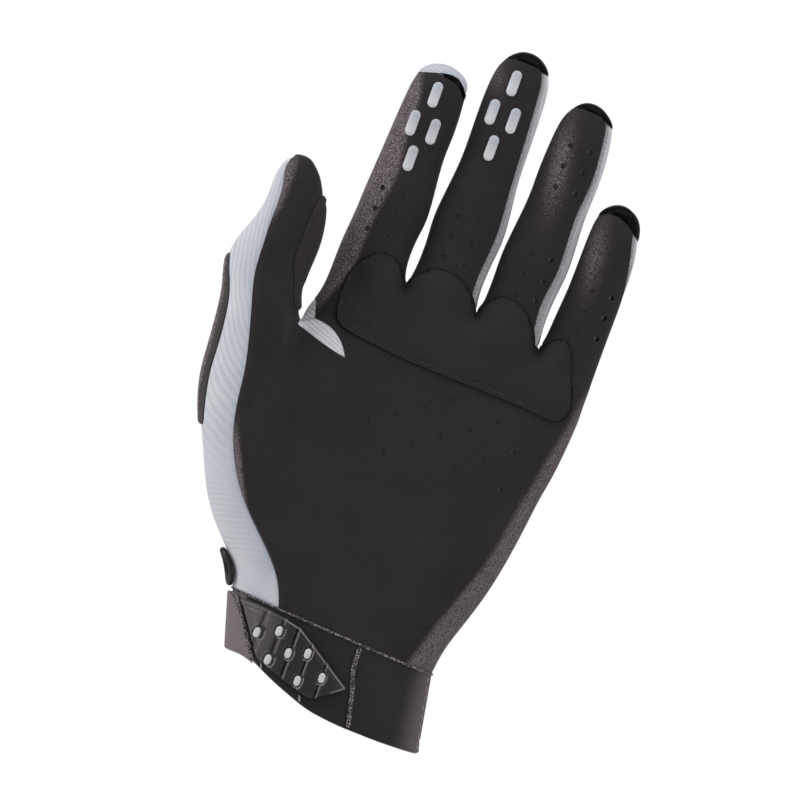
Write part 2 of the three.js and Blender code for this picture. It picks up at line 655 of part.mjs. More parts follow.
function holes() {
  const spots = palmHoleRows.flatMap(({ column, start, count }) => Array.from({ length: count }, (_, i) => [
    palmX(0.305) + column * HOLE_COLUMN, palmZ(start) + i * HOLE_PITCH,
  ]));
  fingerHoles.forEach(({ digit, across, along, columns: count }) => {
    const [x, z] = digitSpot(digitNamed(digit), across, along);
    for (let i = 0; i < count; i += 1) {
      for (let j = 0; j < FINGER_HOLE_ROWS; j += 1) {
        spots.push([x + (i - (count - 1) / 2) * FINGER_HOLE_COLUMN, z + (j - 1) * FINGER_HOLE_PITCH]);
      }
    }
  });
  const depth = PALM_DEPTH + 2 * THUMB_FORWARD;
  return joined(spots.map(([x, z]) => {
    const drill = new THREE.CylinderGeometry(HOLE / 2, HOLE / 2, depth, HOLE_SIDES);
    return solidOf(drill.translate(x, -depth / 2 - CLOTH, z));
  }));
}

// Gusset leaf in the thumb's crotch, grown or shrunk by an edge
function gussetShape(edge) {
  const [x, z] = [crotches[0].x, palmZ(crotches[0].up)];
  const at = (across, up) => [x + across * GUSSET_LENGTH, z + up * GUSSET_LENGTH];
  const shape = new THREE.Shape();
  const [startX, startZ] = at(0, -0.1);
  shape.moveTo(startX - edge, startZ - edge);
  const [lowX, lowZ] = at(0.62, -0.33);
  const [tipX, tipZ] = at(1, -0.38);
  shape.quadraticCurveTo(lowX, lowZ - edge, tipX + edge, tipZ - edge);
  const [highX, highZ] = at(0.76, 0.1);
  const [bendX, bendZ] = at(0.25, 0.1);
  shape.quadraticCurveTo(highX + edge, highZ + edge, bendX + edge, bendZ + edge);
  const [flapX, flapZ] = at(0.16, 0.42);
  shape.lineTo(flapX + edge, flapZ + edge);
  shape.lineTo(x - edge, flapZ + edge);
  return shape;
}

// Stitched overlay across the finger bases, with a scallop up each finger
function overlayShape() {
  const shape = new THREE.Shape();
  shape.moveTo(palmX(0.06), palmZ(0.91));
  shape.bezierCurveTo(palmX(0.065), palmZ(0.8), palmX(0.1), palmZ(0.82), palmX(0.3), palmZ(0.797));
  shape.bezierCurveTo(palmX(0.5), palmZ(0.784), palmX(0.75), palmZ(0.787), palmX(0.88), palmZ(0.773));
  shape.bezierCurveTo(palmX(0.98), palmZ(0.765), palmX(0.98), palmZ(0.83), palmX(0.93), palmZ(0.905));
  const last = crotches[3];
  shape.bezierCurveTo(palmX(0.89), palmZ(1.02), palmX(0.85), palmZ(1.04), last.x, palmZ(last.up - 0.005));
  const scallop = (crotch, peak) => {
    const { currentPoint: from } = shape;
    const to = { x: crotch.x, y: palmZ(crotch.up - 0.018) };
    const lift = peak * PALM_LENGTH;
    const [nearX, farX] = [lerp(from.x, to.x, 0.2), lerp(from.x, to.x, 0.9)];
    shape.bezierCurveTo(nearX, from.y + lift, farX, to.y + lift, to.x, to.y);
  };
  shape.lineTo(last.x - HOLE, palmZ(last.up));
  scallop(crotches[2], 0.125);
  scallop(crotches[1], 0.125);
  scallop({ x: palmX(0.06), up: 0.97 }, 0.125);
  return shape;
}

// Grip pads of the index and middle fingertips
const grips = [
  { digit: 'index', across: 0.04, along: 0.857 },
  { digit: 'index', across: -0.121, along: 0.701 },
  { digit: 'index', across: 0.185, along: 0.694 },
  { digit: 'index', across: 0.017, along: 0.544 },
  { digit: 'middle', across: -0.07, along: 0.871 },
  { digit: 'middle', across: -0.224, along: 0.739 },
  { digit: 'middle', across: 0.102, along: 0.733 },
  { digit: 'middle', across: -0.061, along: 0.606 },
];

// Fingertip caps: down is how far the cut starts below the tip on the palm side, and
// lean turns it towards the finger's outer side, in degrees
const tipCaps = [
  { digit: 'index', down: 1.2, lean: 20 },
  { digit: 'middle', down: 2, lean: 8 },
  { digit: 'ring', down: 1.6, lean: 8 },
  { digit: 'little', down: 1.7, lean: 14 },
];
const TIP_CAP_LENGTH = 13;

function tipCap({ digit: name, down, lean }) {
  const digit = digitNamed(name);
  const y = -FINGER_CURL;
  const cut = shapeOf([
    [-FAR, -down], [0, -down], [digit.depth * 0.6, -TIP_CAP_LENGTH], [FAR, -TIP_CAP_LENGTH],
    [FAR, FAR], [-FAR, FAR],
  ]);
  const geometry = new THREE.ExtrudeGeometry(cut, { depth: digit.width * 1.4, bevelEnabled: false });
  geometry.rotateX(Math.PI / 2).rotateZ(Math.PI / 2).translate(-digit.width * 0.7, 0, 0);
  const [tipX, tipZ] = digitSpot(digit, digit.tip, 1);
  geometry.rotateY(lean * DEGREE).translate(tipX, y, tipZ);
  const faces = quads.filter((quad) => quad.digit === name);
  return layer(faces, CLEARANCE, CLEARANCE + TIP_CAP).intersect(solidOf(geometry));
}

// Raised layer on the inner side of the thumb
function thumbInnerOverlay() {
  const outline = [
    [0.42, 0.05], [0.35, 0.12], [0.31, 0.2], [0.2, 0.32], [0.2, 0.58], [0.21, 0.72], [0.27, 0.816],
    [0.53, 0.816], [0.53, 0.05],
  ].map(([across, along]) => digitSpot(digits[0], across, along));
  const cut = prism(shapeOf(outline), -FAR, -THUMB_FORWARD * 0.7);
  return overThumb(CLEARANCE, CLEARANCE + OVERLAY).intersect(cut);
}

// Raised layer on the back edge of the thumb, outlined from the thumb's side as shares
// of its depth back from its centre and of its length up from its crotch
function thumbBackOverlay() {
  const outline = new THREE.SplineCurve([
    [0.15, -0.92], [-0.05, -0.65], [-0.14, -0.3], [-0.14, 0.02], [0, 0.25], [0.3, 0.24], [0.6, 0.02],
    [0.65, -0.3], [0.5, -0.65],
  ].map(([back, along]) => new THREE.Vector2(
    -THUMB_FORWARD + back * THUMB_DEPTH, digits[0].base + along * THUMB_LENGTH,
  )));
  const shape = new THREE.Shape(outline.getPoints(14));
  const sides = new THREE.ExtrudeGeometry(shape, { depth: FAR, bevelEnabled: false });
  sides.rotateX(Math.PI / 2).rotateZ(Math.PI / 2).translate(digits[0].centre - FAR, 0, 0);
  return overBack(CLEARANCE, CLEARANCE + OVERLAY).intersect(solidOf(sides));
}

// Oval ring that lies on the thumb side, over the cuff
function sideRing() {
  const oval = new THREE.Shape().absellipse(0, 0, RING_PAD_LENGTH / 2, RING_PAD_WIDTH / 2, 0, 2 * Math.PI);
  oval.holes.push(new THREE.Path().absellipse(
    0, 0, RING_PAD_LENGTH / 2 - RING_PAD_SECTION, RING_PAD_WIDTH / 2 - RING_PAD_SECTION, 0, 2 * Math.PI, true,
  ));
  const reach = 4 * RING_PAD_SECTION;
  const geometry = new THREE.ExtrudeGeometry(oval, {
    depth: 2 * reach, bevelEnabled: false, curveSegments: 7,
  });
  geometry.translate(0, 0, -reach);
  const along = new THREE.Vector3(0.62, 0, -0.78).normalize();
  const out = new THREE.Vector3(-0.76, -0.24, -0.6).normalize();
  const across = out.clone().cross(along).normalize();
  const centre = new THREE.Vector3(lerp(wristLeft, thumbLeft, 0.1), -WRIST_DEPTH * 0.14, palmZ(0.073));
  const up = along.clone().cross(across);
  geometry.applyMatrix4(new THREE.Matrix4().makeBasis(along, across, up).setPosition(centre));
  return overBack(CLEARANCE, CLEARANCE + RING_PAD_SECTION).intersect(solidOf(geometry));
}

// Cuff. Its hem's height is a share of the cuff's length, by a share across its width.
const hem = [
  { across: 0, up: 0.25 },
  { across: 0.09, up: 0.27 },
  { across: 0.145, up: 0.19 },
  { across: 0.25, up: 0.05 },
  { across: 0.36, up: -0.065 },
  { across: 0.43, up: -0.14 },
  { across: 0.58, up: -0.2 },
  { across: 0.8, up: -0.226 },
  { across: 1, up: -0.226 },
];
const CUFF_STEPS = 32;

function hemZ(across) {
  const k = Math.max(1, hem.findIndex((row) => row.across >= across));
  const [a, b] = [hem[k - 1], hem[k]];
  return lerp(a.up, b.up, (across - a.across) / (b.across - a.across)) * CUFF_LENGTH;
}

// A point of the cuff, by its turn round from the little finger's side, its share of the
// way up from the hem to the seam, and its height over the cuff's surface
function cuffPoint(turn, share, height) {
  const c = Math.cos(turn);
  const s = Math.sin(turn);
  const round = (v) => Math.sign(v) * Math.abs(v) ** (2 / DIGIT_POWER);
  const across = (1 + round(c)) / 2;
  const halfWidth = lerp(CUFF_WIDTH, WRIST_WIDTH, share) / 2 + height;
  const halfDepth = lerp(CUFF_DEPTH, WRIST_DEPTH, share) / 2 + height;
  const centre = lerp(0, WRIST_SHIFT, share);
  const x = centre + halfWidth * round(c);
  const top = wristHeight + slant(x, 0) - CLEARANCE / 2;
  return new THREE.Vector3(x, -halfDepth * round(s), lerp(hemZ(across), top, share));
}

// A closed band round the cuff between two heights and two shares of the way up
function cuffLayer(low, high, from, to) {
  const rows = spread(from, to, 2);
  const corners = [...rows.map((share) => [share, high]), ...rows.map((share) => [share, low]).reverse()];
  const size = corners.length;
  const positions = [];
  const triangles = [];
  for (let i = 0; i < CUFF_STEPS; i += 1) {
    corners.forEach(([share, height], j) => {
      positions.push(...cuffPoint((-2 * Math.PI * i) / CUFF_STEPS, share, height).toArray());
      const a = i * size + j;
      const b = i * size + ((j + 1) % size);
      const c = ((i + 1) % CUFF_STEPS) * size + ((j + 1) % size);
      const d = ((i + 1) % CUFF_STEPS) * size + j;
      triangles.push(a, d, c, a, c, b);
    });
  }
  return new wasm.Manifold(new wasm.Mesh({
    numProp: 3, vertProperties: new Float32Array(positions), triVerts: new Uint32Array(triangles),
  }));
}

// Piping round the seam of the cuff and the hand
function wristPiping() {
  const sides = 5;
  const positions = [];
  const triangles = [];
  for (let i = 0; i < CUFF_STEPS; i += 1) {
    const turn = (-2 * Math.PI * i) / CUFF_STEPS;
    for (let j = 0; j < sides; j += 1) {
      const angle = (2 * Math.PI * j) / sides;
      const point = cuffPoint(turn, 1, 1.5 * CLEARANCE + (PIPING / 2) * (1 + Math.cos(angle)));
      positions.push(point.x, point.y, point.z - PIPING * 0.3 + (PIPING / 2) * Math.sin(angle));
      const a = i * sides + j;
      const b = i * sides + ((j + 1) % sides);
      const c = ((i + 1) % CUFF_STEPS) * sides + ((j + 1) % sides);
      const d = ((i + 1) % CUFF_STEPS) * sides + j;
      triangles.push(a, d, c, a, c, b);
    }
  }
  return new wasm.Manifold(new wasm.Mesh({
    numProp: 3, vertProperties: new Float32Array(positions), triVerts: new Uint32Array(triangles),
  }));
}

// Places on the cuff's front, as shares of the tab's length and the cuff's length
const cuffLeft = -CUFF_WIDTH / 2;
const tabX = (share) => cuffLeft - TAB_OVERHANG + share * TAB_LENGTH;
const cuffZ = (share) => share * CUFF_LENGTH;
const cuffSpots = (pairs) => pairs.map(([along, up]) => [tabX(along), cuffZ(up)]);
const STRAP_TOP = 0.93;
const strapLine = cuffSpots([[-0.05, 1.2], [0.07, 0.91], [0.206, 0.52], [0.297, 0.24], [0.4, -0.1]]);
const uprightLine = [
  [0.145, 1.1], [0.145, 0.75], [0.16, 0.56], [0.2, 0.39], [0.23, 0.22], [0.29, -0.13], [0.31, -0.4],
].map(([along, up]) => [along * CUFF_WIDTH / 2, cuffZ(up)]);

const tabPills = [
  { along: 0.26, up: 0.643 },
  { along: 0.4, up: 0.76 },
  { along: 0.398, up: 0.34 },
  { along: 0.513, up: 0.513 },
  { along: 0.643, up: 0.6 },
  { along: 0.641, up: 0.196 },
  { along: 0.796, up: 0.348 },
];
const tabGrooves = [0.263, 0.4, 0.52, 0.648, 0.794];
const tabTop = CLEARANCE + TAB;

function strapTab() {
  const outline = shapeOf(cuffSpots([
    [-0.05, 1.2], [0.18, 1], [0.41, 0.955], [0.545, 0.91], [1.016, 0.32], [0.89, 0.155], [0.78, 0.013],
    [0.64, 0.087], [0.526, 0.16], [0.31, 0.3], [0.4, -0.1], [0.297, 0.24], [0.206, 0.52], [0.07, 0.91],
  ]));
  const grooves = joined(tabGrooves.map((along) => onFront(shapeOf([
    [tabX(along) - TAB_GROOVE / 2, -FAR], [tabX(along) + TAB_GROOVE / 2, -FAR],
    [tabX(along) + TAB_GROOVE / 2, FAR], [tabX(along) - TAB_GROOVE / 2, FAR],
  ]))));
  const cut = cuffLayer(tabTop - TAB_GROOVE, tabTop + TAB, -0.2, 1.2).intersect(grooves);
  const seats = joined(tabPills.map(({ along, up }) => onFront(stadium(
    tabX(along), cuffZ(up), TAB_PILL_WIDTH + 2 * CLEARANCE, TAB_PILL_LENGTH + 2 * CLEARANCE,
  ), 2)));
  const pockets = cuffLayer(tabTop - TAB_PILL_HEIGHT, tabTop + TAB, -0.2, 1.2).intersect(seats);
  return cuffLayer(CLEARANCE, tabTop, 0, STRAP_TOP).intersect(onFront(outline))
    .subtract(onFront(ribbon(strapLine, PIPING + 2 * CLEARANCE))).subtract(cut).subtract(pockets);
}

function strapBand() {
  const frontPart = shapeOf([[-FAR, 2 * CUFF_LENGTH], ...strapLine, [-FAR, -CUFF_LENGTH]]);
  const backPart = shapeOf([[-FAR, FAR], [-FAR, -FAR], [tabX(0.8), -FAR], [tabX(0.8), FAR]]);
  const parts = prism(frontPart, -FAR, CLOTH).add(prism(backPart, 0, FAR));
  return cuffLayer(CLEARANCE, CLEARANCE + STRAP, 0, STRAP_TOP).intersect(parts)
    .subtract(onFront(ribbon(strapLine, PIPING + 2 * CLEARANCE)));
}

// Assembly
const glove = new THREE.Group();
function add(name, solid, material) {
  const mesh = new THREE.Mesh(geometryOf(solid), material);
  mesh.name = name;
  glove.add(mesh);
}

const plain = (color, roughness) => new THREE.MeshStandardMaterial({ color, roughness, metalness: 0 });
const suede = plain('#2c2b2c', 0.9);
const ribbedCloth = plain('#c6cbd3', 0.85);
const gripSilicone = plain('#c4c9d1', 0.45);
const glossyRubber = plain('#0b0b0c', 0.25);
const mattRubber = plain('#2a2a2c', 0.5);
const neoprene = plain('#2f2c2d', 0.8);

const palmSkin = layer(onPanel('palm'), -CLOTH, 0, SEAM_BORDER);
add('palm_panel', palmSkin.subtract(through(gussetShape(CLEARANCE / 2))).subtract(holes()), suede);
add('thumb_gusset', palmSkin.intersect(through(gussetShape(-CLEARANCE / 2))), ribbedCloth);
add('back_panel', layer(onPanel('back'), -CLOTH, 0, SEAM_BORDER), ribbedCloth);
add('palm_overlay', overPalm(CLEARANCE, CLEARANCE + OVERLAY).intersect(onFront(overlayShape())), suede);
const gripLayer = overPalm(CLEARANCE, CLEARANCE + GRIP_HEIGHT);
grips.forEach(({ digit, across, along }, i) => {
  const [x, z] = digitSpot(digitNamed(digit), across, along);
  const pad = gripLayer.intersect(onFront(stadium(x, z, GRIP_WIDTH, GRIP_LENGTH), 3));
  add(`${digit}_grip_${(i % 4) + 1}`, pad, gripSilicone);
});
tipCaps.forEach((cap) => add(`${cap.digit}_tip`, tipCap(cap), glossyRubber));
add('thumb_inner_overlay', thumbInnerOverlay(), suede);
add('thumb_back_overlay', thumbBackOverlay(), suede);
add('side_ring', sideRing(), mattRubber);
add('cuff_band', cuffLayer(-NEOPRENE, 0, 0, 1), neoprene);
add('wrist_piping', wristPiping(), neoprene);
const uprightLayer = cuffLayer(CLEARANCE, CLEARANCE + PIPING, 0, STRAP_TOP);
add('cuff_piping', uprightLayer.intersect(onFront(ribbon(uprightLine, 1.4 * PIPING))), neoprene);
add('strap_band', strapBand(), neoprene);
const strapLayer = cuffLayer(CLEARANCE, CLEARANCE + STRAP, 0, STRAP_TOP);
add('strap_piping', strapLayer.intersect(onFront(ribbon(strapLine, PIPING))), neoprene);
add('strap_tab', strapTab(), mattRubber);
tabPills.forEach(({ along, up }, i) => {
  const pill = stadium(tabX(along), cuffZ(up), TAB_PILL_WIDTH, TAB_PILL_LENGTH);
  const inlay = cuffLayer(tabTop - TAB_PILL_HEIGHT + CLEARANCE, tabTop + TAB_PILL_HEIGHT, -0.2, 1.2);
  add(`tab_pill_${i + 1}`, inlay.intersect(onFront(pill, 3)), gripSilicone);
});

export default glove;
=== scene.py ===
"""A left motocross glove: black suede palm, grey ribbed back, strap tab at the cuff.

Lengths in this file's tables are millimetres in the part's frame: X runs to the little
finger, the palm faces -Y and Z runs up to the fingertips.
"""

import functools
import math

import bpy
import numpy as np
from bpy.props import FloatProperty, FloatVectorProperty, IntProperty, PointerProperty
from mathutils import Matrix, Vector
from mathutils.bvhtree import BVHTree
from mathutils.geometry import delaunay_2d_cdt
from mathutils.kdtree import KDTree


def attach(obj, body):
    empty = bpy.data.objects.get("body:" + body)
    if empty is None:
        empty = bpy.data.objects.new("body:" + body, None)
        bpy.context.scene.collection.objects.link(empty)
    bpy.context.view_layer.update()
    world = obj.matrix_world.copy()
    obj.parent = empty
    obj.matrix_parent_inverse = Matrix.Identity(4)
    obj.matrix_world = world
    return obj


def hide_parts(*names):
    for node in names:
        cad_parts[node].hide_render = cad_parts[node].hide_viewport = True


bl_info = {
    "name": "Motocross Glove",
    "version": (1, 0, 0),
    "blender": (4, 5, 0),
    "location": "View3D > Sidebar > Glove",
    "description": "Builds a motocross glove round its packed solids",
    "category": "Add Mesh",
}

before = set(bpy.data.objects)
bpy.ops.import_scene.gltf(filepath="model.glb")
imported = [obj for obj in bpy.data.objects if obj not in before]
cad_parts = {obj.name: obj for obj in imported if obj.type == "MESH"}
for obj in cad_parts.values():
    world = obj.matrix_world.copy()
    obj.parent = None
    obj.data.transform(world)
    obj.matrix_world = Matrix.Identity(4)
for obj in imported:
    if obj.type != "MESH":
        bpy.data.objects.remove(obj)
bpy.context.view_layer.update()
MM = 0.001
ROOT = "root"

# Further out than any piece, and higher than any fingertip
FAR = 150
ABOVE = 240


# Colours

def linear(code):
    """An sRGB hex colour as linear red, green, blue and alpha."""
    parts = [int(code[i:i + 2], 16) / 255 for i in (1, 3, 5)]
    curve = [c / 12.92 if c <= 0.04045 else ((c + 0.055) / 1.055) ** 2.4 for c in parts]
    return (*curve, 1.0)


# Sizes and colours that a user would change

def length_property(name, description, millimetres):
    return FloatProperty(
        name=name, description=description, default=millimetres * MM, min=0.0,
        subtype="DISTANCE", unit="LENGTH",
    )


def colour_property(name, description, code):
    return FloatVectorProperty(
        name=name, description=description, default=linear(code), size=4, min=0.0, max=1.0,
        subtype="COLOR",
    )


class GloveSizes(bpy.types.PropertyGroup):
    cloth: length_property("Cloth", "Thickness of the suede and the ribbed cloth", 1.5)
    overlay: length_property("Overlay", "Thickness of a sewn overlay", 0.9)
    grip: length_property("Grip", "Height of a fingertip's grip pad", 0.8)
    cap: length_property("Tip cap", "Thickness of a fingertip's cap", 0.5)
    hole: length_property("Perforation", "Width of a perforation", 1.7)
    stitch: length_property("Stitch", "Length of one stitch", 2.1)
    stitch_gap: length_property("Stitch gap", "Space between two stitches", 0.9)
    thread: length_property("Thread", "Thickness of the sewing thread", 0.45)
    rib_pitch: length_property("Rib pitch", "Distance from one rib of the cloth to the next", 1.3)
    tab: length_property("Tab", "Thickness of the strap's tab", 2.0)
    piping: length_property("Piping", "Width of the bound seams", 1.1)
    levels: IntProperty(
        name="Levels", description="Subdivision of the hand's skin", default=3, min=1, max=4,
    )


class GloveColours(bpy.types.PropertyGroup):
    suede: colour_property("Suede", "Ground of the black suede", "#2b2829")
    # Colour of the painted sheen on the suede and the cuff
    nap: colour_property("Nap", "Sheen of the suede where the nap catches light", "#94888e")
    cloth: colour_property("Cloth", "Light grey of the ribbed cloth", "#d3d4d8")
    cloth_shade: colour_property("Cloth shade", "Grooves of the ribbed cloth", "#adb1bb")
    silicone: colour_property("Silicone", "Grip pads", "#a9adb5")
    inlay: colour_property("Inlay", "Inlays of the strap's tab", "#c3c4c4")
    rubber: colour_property("Rubber", "Glossy fingertips", "#040404")
    tab: colour_property("Tab", "Moulded tab of the strap", "#221f20")
    ring: colour_property("Ring", "Moulded ring beside the wrist", "#171617")
    neoprene: colour_property("Neoprene", "Cuff", "#262425")


# The hand's form

PALM_LENGTH = 113
PALM_DEPTH = 27
WRIST_WIDTH = 70
WRIST_DEPTH = 42
WRIST_SHIFT = -5.2
WRIST_SLANT = 4.5
WRIST_HEIGHT = 23
KNUCKLE_SHIFT = 3.4
FINGER_GAP = 2.4
LITTLE_GAP = 1.7
WEB_INSET = 3.4
THUMB_GAP = 0.8
THUMB_FORWARD = 13.5
FINGER_CURL = 6
LITTLE_SIDE_SEAM = -25
THUMB_WIDTH, THUMB_LENGTH, THUMB_DEPTH = 25.4, 49.6, 24
INDEX_WIDTH, MIDDLE_WIDTH, RING_WIDTH, LITTLE_WIDTH = 23.2, 22.1, 20.8, 19

WRIST_LEFT = WRIST_SHIFT - WRIST_WIDTH / 2
WRIST_RIGHT = WRIST_SHIFT + WRIST_WIDTH / 2
MIDDLE_RIGHT = KNUCKLE_SHIFT - FINGER_GAP / 2
MIDDLE_LEFT = MIDDLE_RIGHT - MIDDLE_WIDTH
INDEX_RIGHT = MIDDLE_LEFT - FINGER_GAP
INDEX_LEFT = INDEX_RIGHT - INDEX_WIDTH
RING_LEFT = KNUCKLE_SHIFT + FINGER_GAP / 2
RING_RIGHT = RING_LEFT + RING_WIDTH
LITTLE_LEFT = RING_RIGHT + LITTLE_GAP
LITTLE_RIGHT = LITTLE_LEFT + LITTLE_WIDTH
PALM_WIDTH = LITTLE_RIGHT - INDEX_LEFT
CROTCH_X = INDEX_LEFT - WEB_INSET
THUMB_RIGHT = CROTCH_X - THUMB_GAP
THUMB_LEFT = THUMB_RIGHT - THUMB_WIDTH

# Crotches, from the thumb's to the little finger's: place across and share up the palm
CROTCHES = (
    ((THUMB_RIGHT + CROTCH_X) / 2, 0.805),
    ((INDEX_RIGHT + MIDDLE_LEFT) / 2, 1.004),
    ((MIDDLE_RIGHT + RING_LEFT) / 2, 1.0),
    ((RING_RIGHT + LITTLE_LEFT) / 2, 0.96),
)


def lerp(a, b, t):
    return a + (b - a) * t


def smooth(t):
    """A ramp from 0 to 1 that starts and ends softly."""
    t = np.clip(t, 0, 1)
    return t * t * (3 - 2 * t)


def bell(offset, width):
    """A soft hump: 1 at no offset, and all but 0 at twice its width."""
    return np.exp(-(offset / width) ** 2)


def spread(low, high, steps):
    """Even values from low to high, both included."""
    return [lerp(low, high, i / steps) for i in range(steps + 1)]


def palm_z(up):
    return WRIST_HEIGHT + up * PALM_LENGTH


def palm_x(across):
    return INDEX_LEFT + across * PALM_WIDTH


def foot_z(a, b):
    return palm_z((CROTCHES[a][1] + CROTCHES[b][1]) / 2)


# Digits. Rows are rings: share of the length, left and right as shares of the width from
# the centre line, share of the depth, and the side seam's angle in degrees.
DIGITS = (
    dict(name="thumb", centre=THUMB_RIGHT - THUMB_WIDTH / 2, width=THUMB_WIDTH, length=THUMB_LENGTH,
         depth=THUMB_DEPTH, foot=foot_z(0, 0), tip=-0.126, on_palm=4, rows=(
             (0.1, -0.547, 0.425, 1, 78), (0.22, -0.598, 0.382, 0.97, 79),
             (0.34, -0.579, 0.386, 0.94, 76), (0.46, -0.496, 0.398, 0.9, 67),
             (0.58, -0.425, 0.382, 0.86, 58), (0.7, -0.394, 0.331, 0.81, 56),
             (0.82, -0.392, 0.24, 0.73, 50), (0.91, -0.35, 0.138, 0.58, 32),
             (0.965, -0.283, 0.03, 0.38, 20))),
    dict(name="index", centre=INDEX_RIGHT - INDEX_WIDTH / 2, width=INDEX_WIDTH, length=70,
         depth=19, foot=foot_z(1, 1), tip=0.065, on_palm=2, rows=(
             (0.08, -0.496, 0.474, 1.09, -12), (0.22, -0.461, 0.483, 1.04, -12),
             (0.34, -0.444, 0.513, 1.04, -12), (0.56, -0.401, 0.453, 0.95, -12),
             (0.7, -0.375, 0.461, 0.92, -12), (0.83, -0.345, 0.448, 0.85, -12),
             (0.91, -0.306, 0.422, 0.72, -12), (0.96, -0.22, 0.366, 0.54, -5))),
    dict(name="middle", centre=MIDDLE_RIGHT - MIDDLE_WIDTH / 2, width=MIDDLE_WIDTH, length=83,
         depth=19.5, foot=foot_z(1, 2), tip=0.016, on_palm=0, rows=(
             (0.07, -0.5, 0.509, 1.09, 37), (0.19, -0.486, 0.527, 1.04, 36),
             (0.31, -0.5, 0.559, 1.04, 37), (0.48, -0.437, 0.495, 0.96, 34),
             (0.6, -0.421, 0.473, 0.93, 35), (0.75, -0.428, 0.462, 0.9, 40),
             (0.86, -0.41, 0.441, 0.81, 43), (0.93, -0.351, 0.387, 0.67, 43),
             (0.97, -0.229, 0.274, 0.48, 43))),
    dict(name="ring", centre=RING_RIGHT - RING_WIDTH / 2, width=RING_WIDTH, length=77,
         depth=18.5, foot=foot_z(2, 3), tip=0.053, on_palm=0, rows=(
             (0.09, -0.502, 0.5, 1.09, 46), (0.22, -0.495, 0.529, 1.04, 46),
             (0.34, -0.486, 0.5625, 1.04, 45), (0.53, -0.413, 0.529, 0.96, 47),
             (0.66, -0.409, 0.548, 0.93, 41), (0.8, -0.385, 0.534, 0.87, 42),
             (0.89, -0.346, 0.486, 0.76, 42), (0.945, -0.269, 0.423, 0.61, 42),
             (0.98, -0.144, 0.274, 0.4, 42))),
    dict(name="little", centre=LITTLE_RIGHT - LITTLE_WIDTH / 2, width=LITTLE_WIDTH, length=51.7,
         depth=16.5, foot=foot_z(3, 3), tip=-0.01, on_palm=2, rows=(
             (0.1, -0.489, 0.5, 1.1, -25), (0.25, -0.458, 0.5, 1.05, -20),
             (0.4, -0.426, 0.5, 1.03, -6), (0.55, -0.416, 0.5, 0.99, 14),
             (0.7, -0.41, 0.484, 0.94, 33), (0.83, -0.395, 0.416, 0.84, 40),
             (0.92, -0.337, 0.337, 0.68, 44), (0.97, -0.216, 0.221, 0.45, 44))),
)
THUMB, INDEX, MIDDLE, RING, LITTLE = range(5)

# The palm below the thumb's crotch: share up, then left, right, seam, inner edge, forward,
# thumb's depth, palm's left edge and palm's depth, each from 0 at the wrist to 1
PALM_ROWS = (
    (0, 0, 0, 0.642, 0, 0, 0, 0, 0),
    (0.08, 0.124, 0.085, 0.654, 0.073, 0.07, 0.11, 0.41, 0.17),
    (0.168, 0.358, 0.293, 0.646, 0.225, 0.22, 0.23, 0.73, 0.36),
    (0.265, 0.544, 0.5, 0.504, 0.402, 0.41, 0.34, 0.95, 0.54),
    (0.363, 0.687, 0.634, 0.421, 0.554, 0.59, 0.455, 1.05, 0.69),
    (0.46, 0.825, 0.732, 0.449, 0.693, 0.74, 0.57, 1.05, 0.8),
    (0.557, 0.915, 0.817, 0.504, 0.807, 0.85, 0.68, 1.05, 0.886),
    (0.646, 0.944, 0.921, 0.488, 0.895, 0.925, 0.82, 1.05, 0.94),
    (0.779, 0.983, 1, 0.382, 1, 1, 1, 1, 1),
)

CROTCH_ROW = PALM_ROWS[-1][0]

# The palm above the thumb's crotch: share up, side, depth and scallop of the finger bases
KNUCKLE_ROWS = ((0.836, 0.12, 1, 0.15), (0.894, 0.75, 0.98, 0.45), (0.958, 1, 0.94, 0.9))

# The thumb's mound on the palm: the shares up the palm where it is full, where it starts to
# fade and where its blend with the palm is full, and the width of that blend
MOUND_FULL, MOUND_FADE, BLEND_FULL = 0.2, 0.4, 0.35
THUMB_BLEND = 14

# The hollow of the palm: depth, shift to the thumb's side, share up the palm, and its radii
# as shares of the palm's width and length
PALM_HOLLOW, HOLLOW_SHIFT, HOLLOW_UP = 2.5, 8, 0.56
HOLLOW_WIDTH, HOLLOW_LENGTH = 0.28, 0.3

# Share up the palm where the wrist's slant has gone, depth of the valleys between the finger
# bases and of their flanks, and shares of the depth across a crotch
SLANT_END = 0.3
VALLEY, VALLEY_FLANK = 0.24, 0.3
WEB_SHARES = (0.28, 0.5, 0.72)

# Faces on each side of a digit, powers of the sections' outlines, angles of their corners in
# degrees, share of the inner ring that closes a tip, and passes that even out and fit the form
FACES = 4
PALM_POWER = 3
DIGIT_POWER = 2.2
BACK_CORNER = -52
FRONT_CORNER = 42
TIP_SHARE = 0.55
FAIRING_PASSES = 8
FITTING_PASSES, FITTING_STEP = 4, 0.8


def bulge(u, power):
    """Height of a rounded section at a share across it."""
    return (1 - abs(u) ** power) ** (1 / power) if abs(u) < 1 else 0.0


def rim(section, side, angle):
    """A point on a section's side, at an angle from straight across."""
    turn = math.sin(math.radians(angle))
    reach = section["half_width"] * bulge(turn, section["power"])
    return section["x"] + side * reach, section["y"] - section["half_depth"] * turn


def rise(section, x, towards):
    """How far a section stands out in front or behind at a place across."""
    u = (x - section["x"]) / section["half_width"]
    around = bulge(u, section["power"]) if abs(u) < 1 else -3 * (abs(u) - 1)
    mound = math.cos(u * math.pi / 2) ** 2 if u < 1 else 0.0
    over = lerp(around, mound, section.get("mound", 0)) if u > 0 else around
    return towards * section["y"] + section["half_depth"] * over


def blended_rise(sections, x, towards, blend):
    """The higher of two sections, with a soft step from one to the other."""
    a, b = (rise(section, x, towards) for section in sections)
    if blend == 0:
        return max(a, b)
    near = max(blend - abs(a - b), 0) / blend
    return max(a, b) + near * near * blend / 4


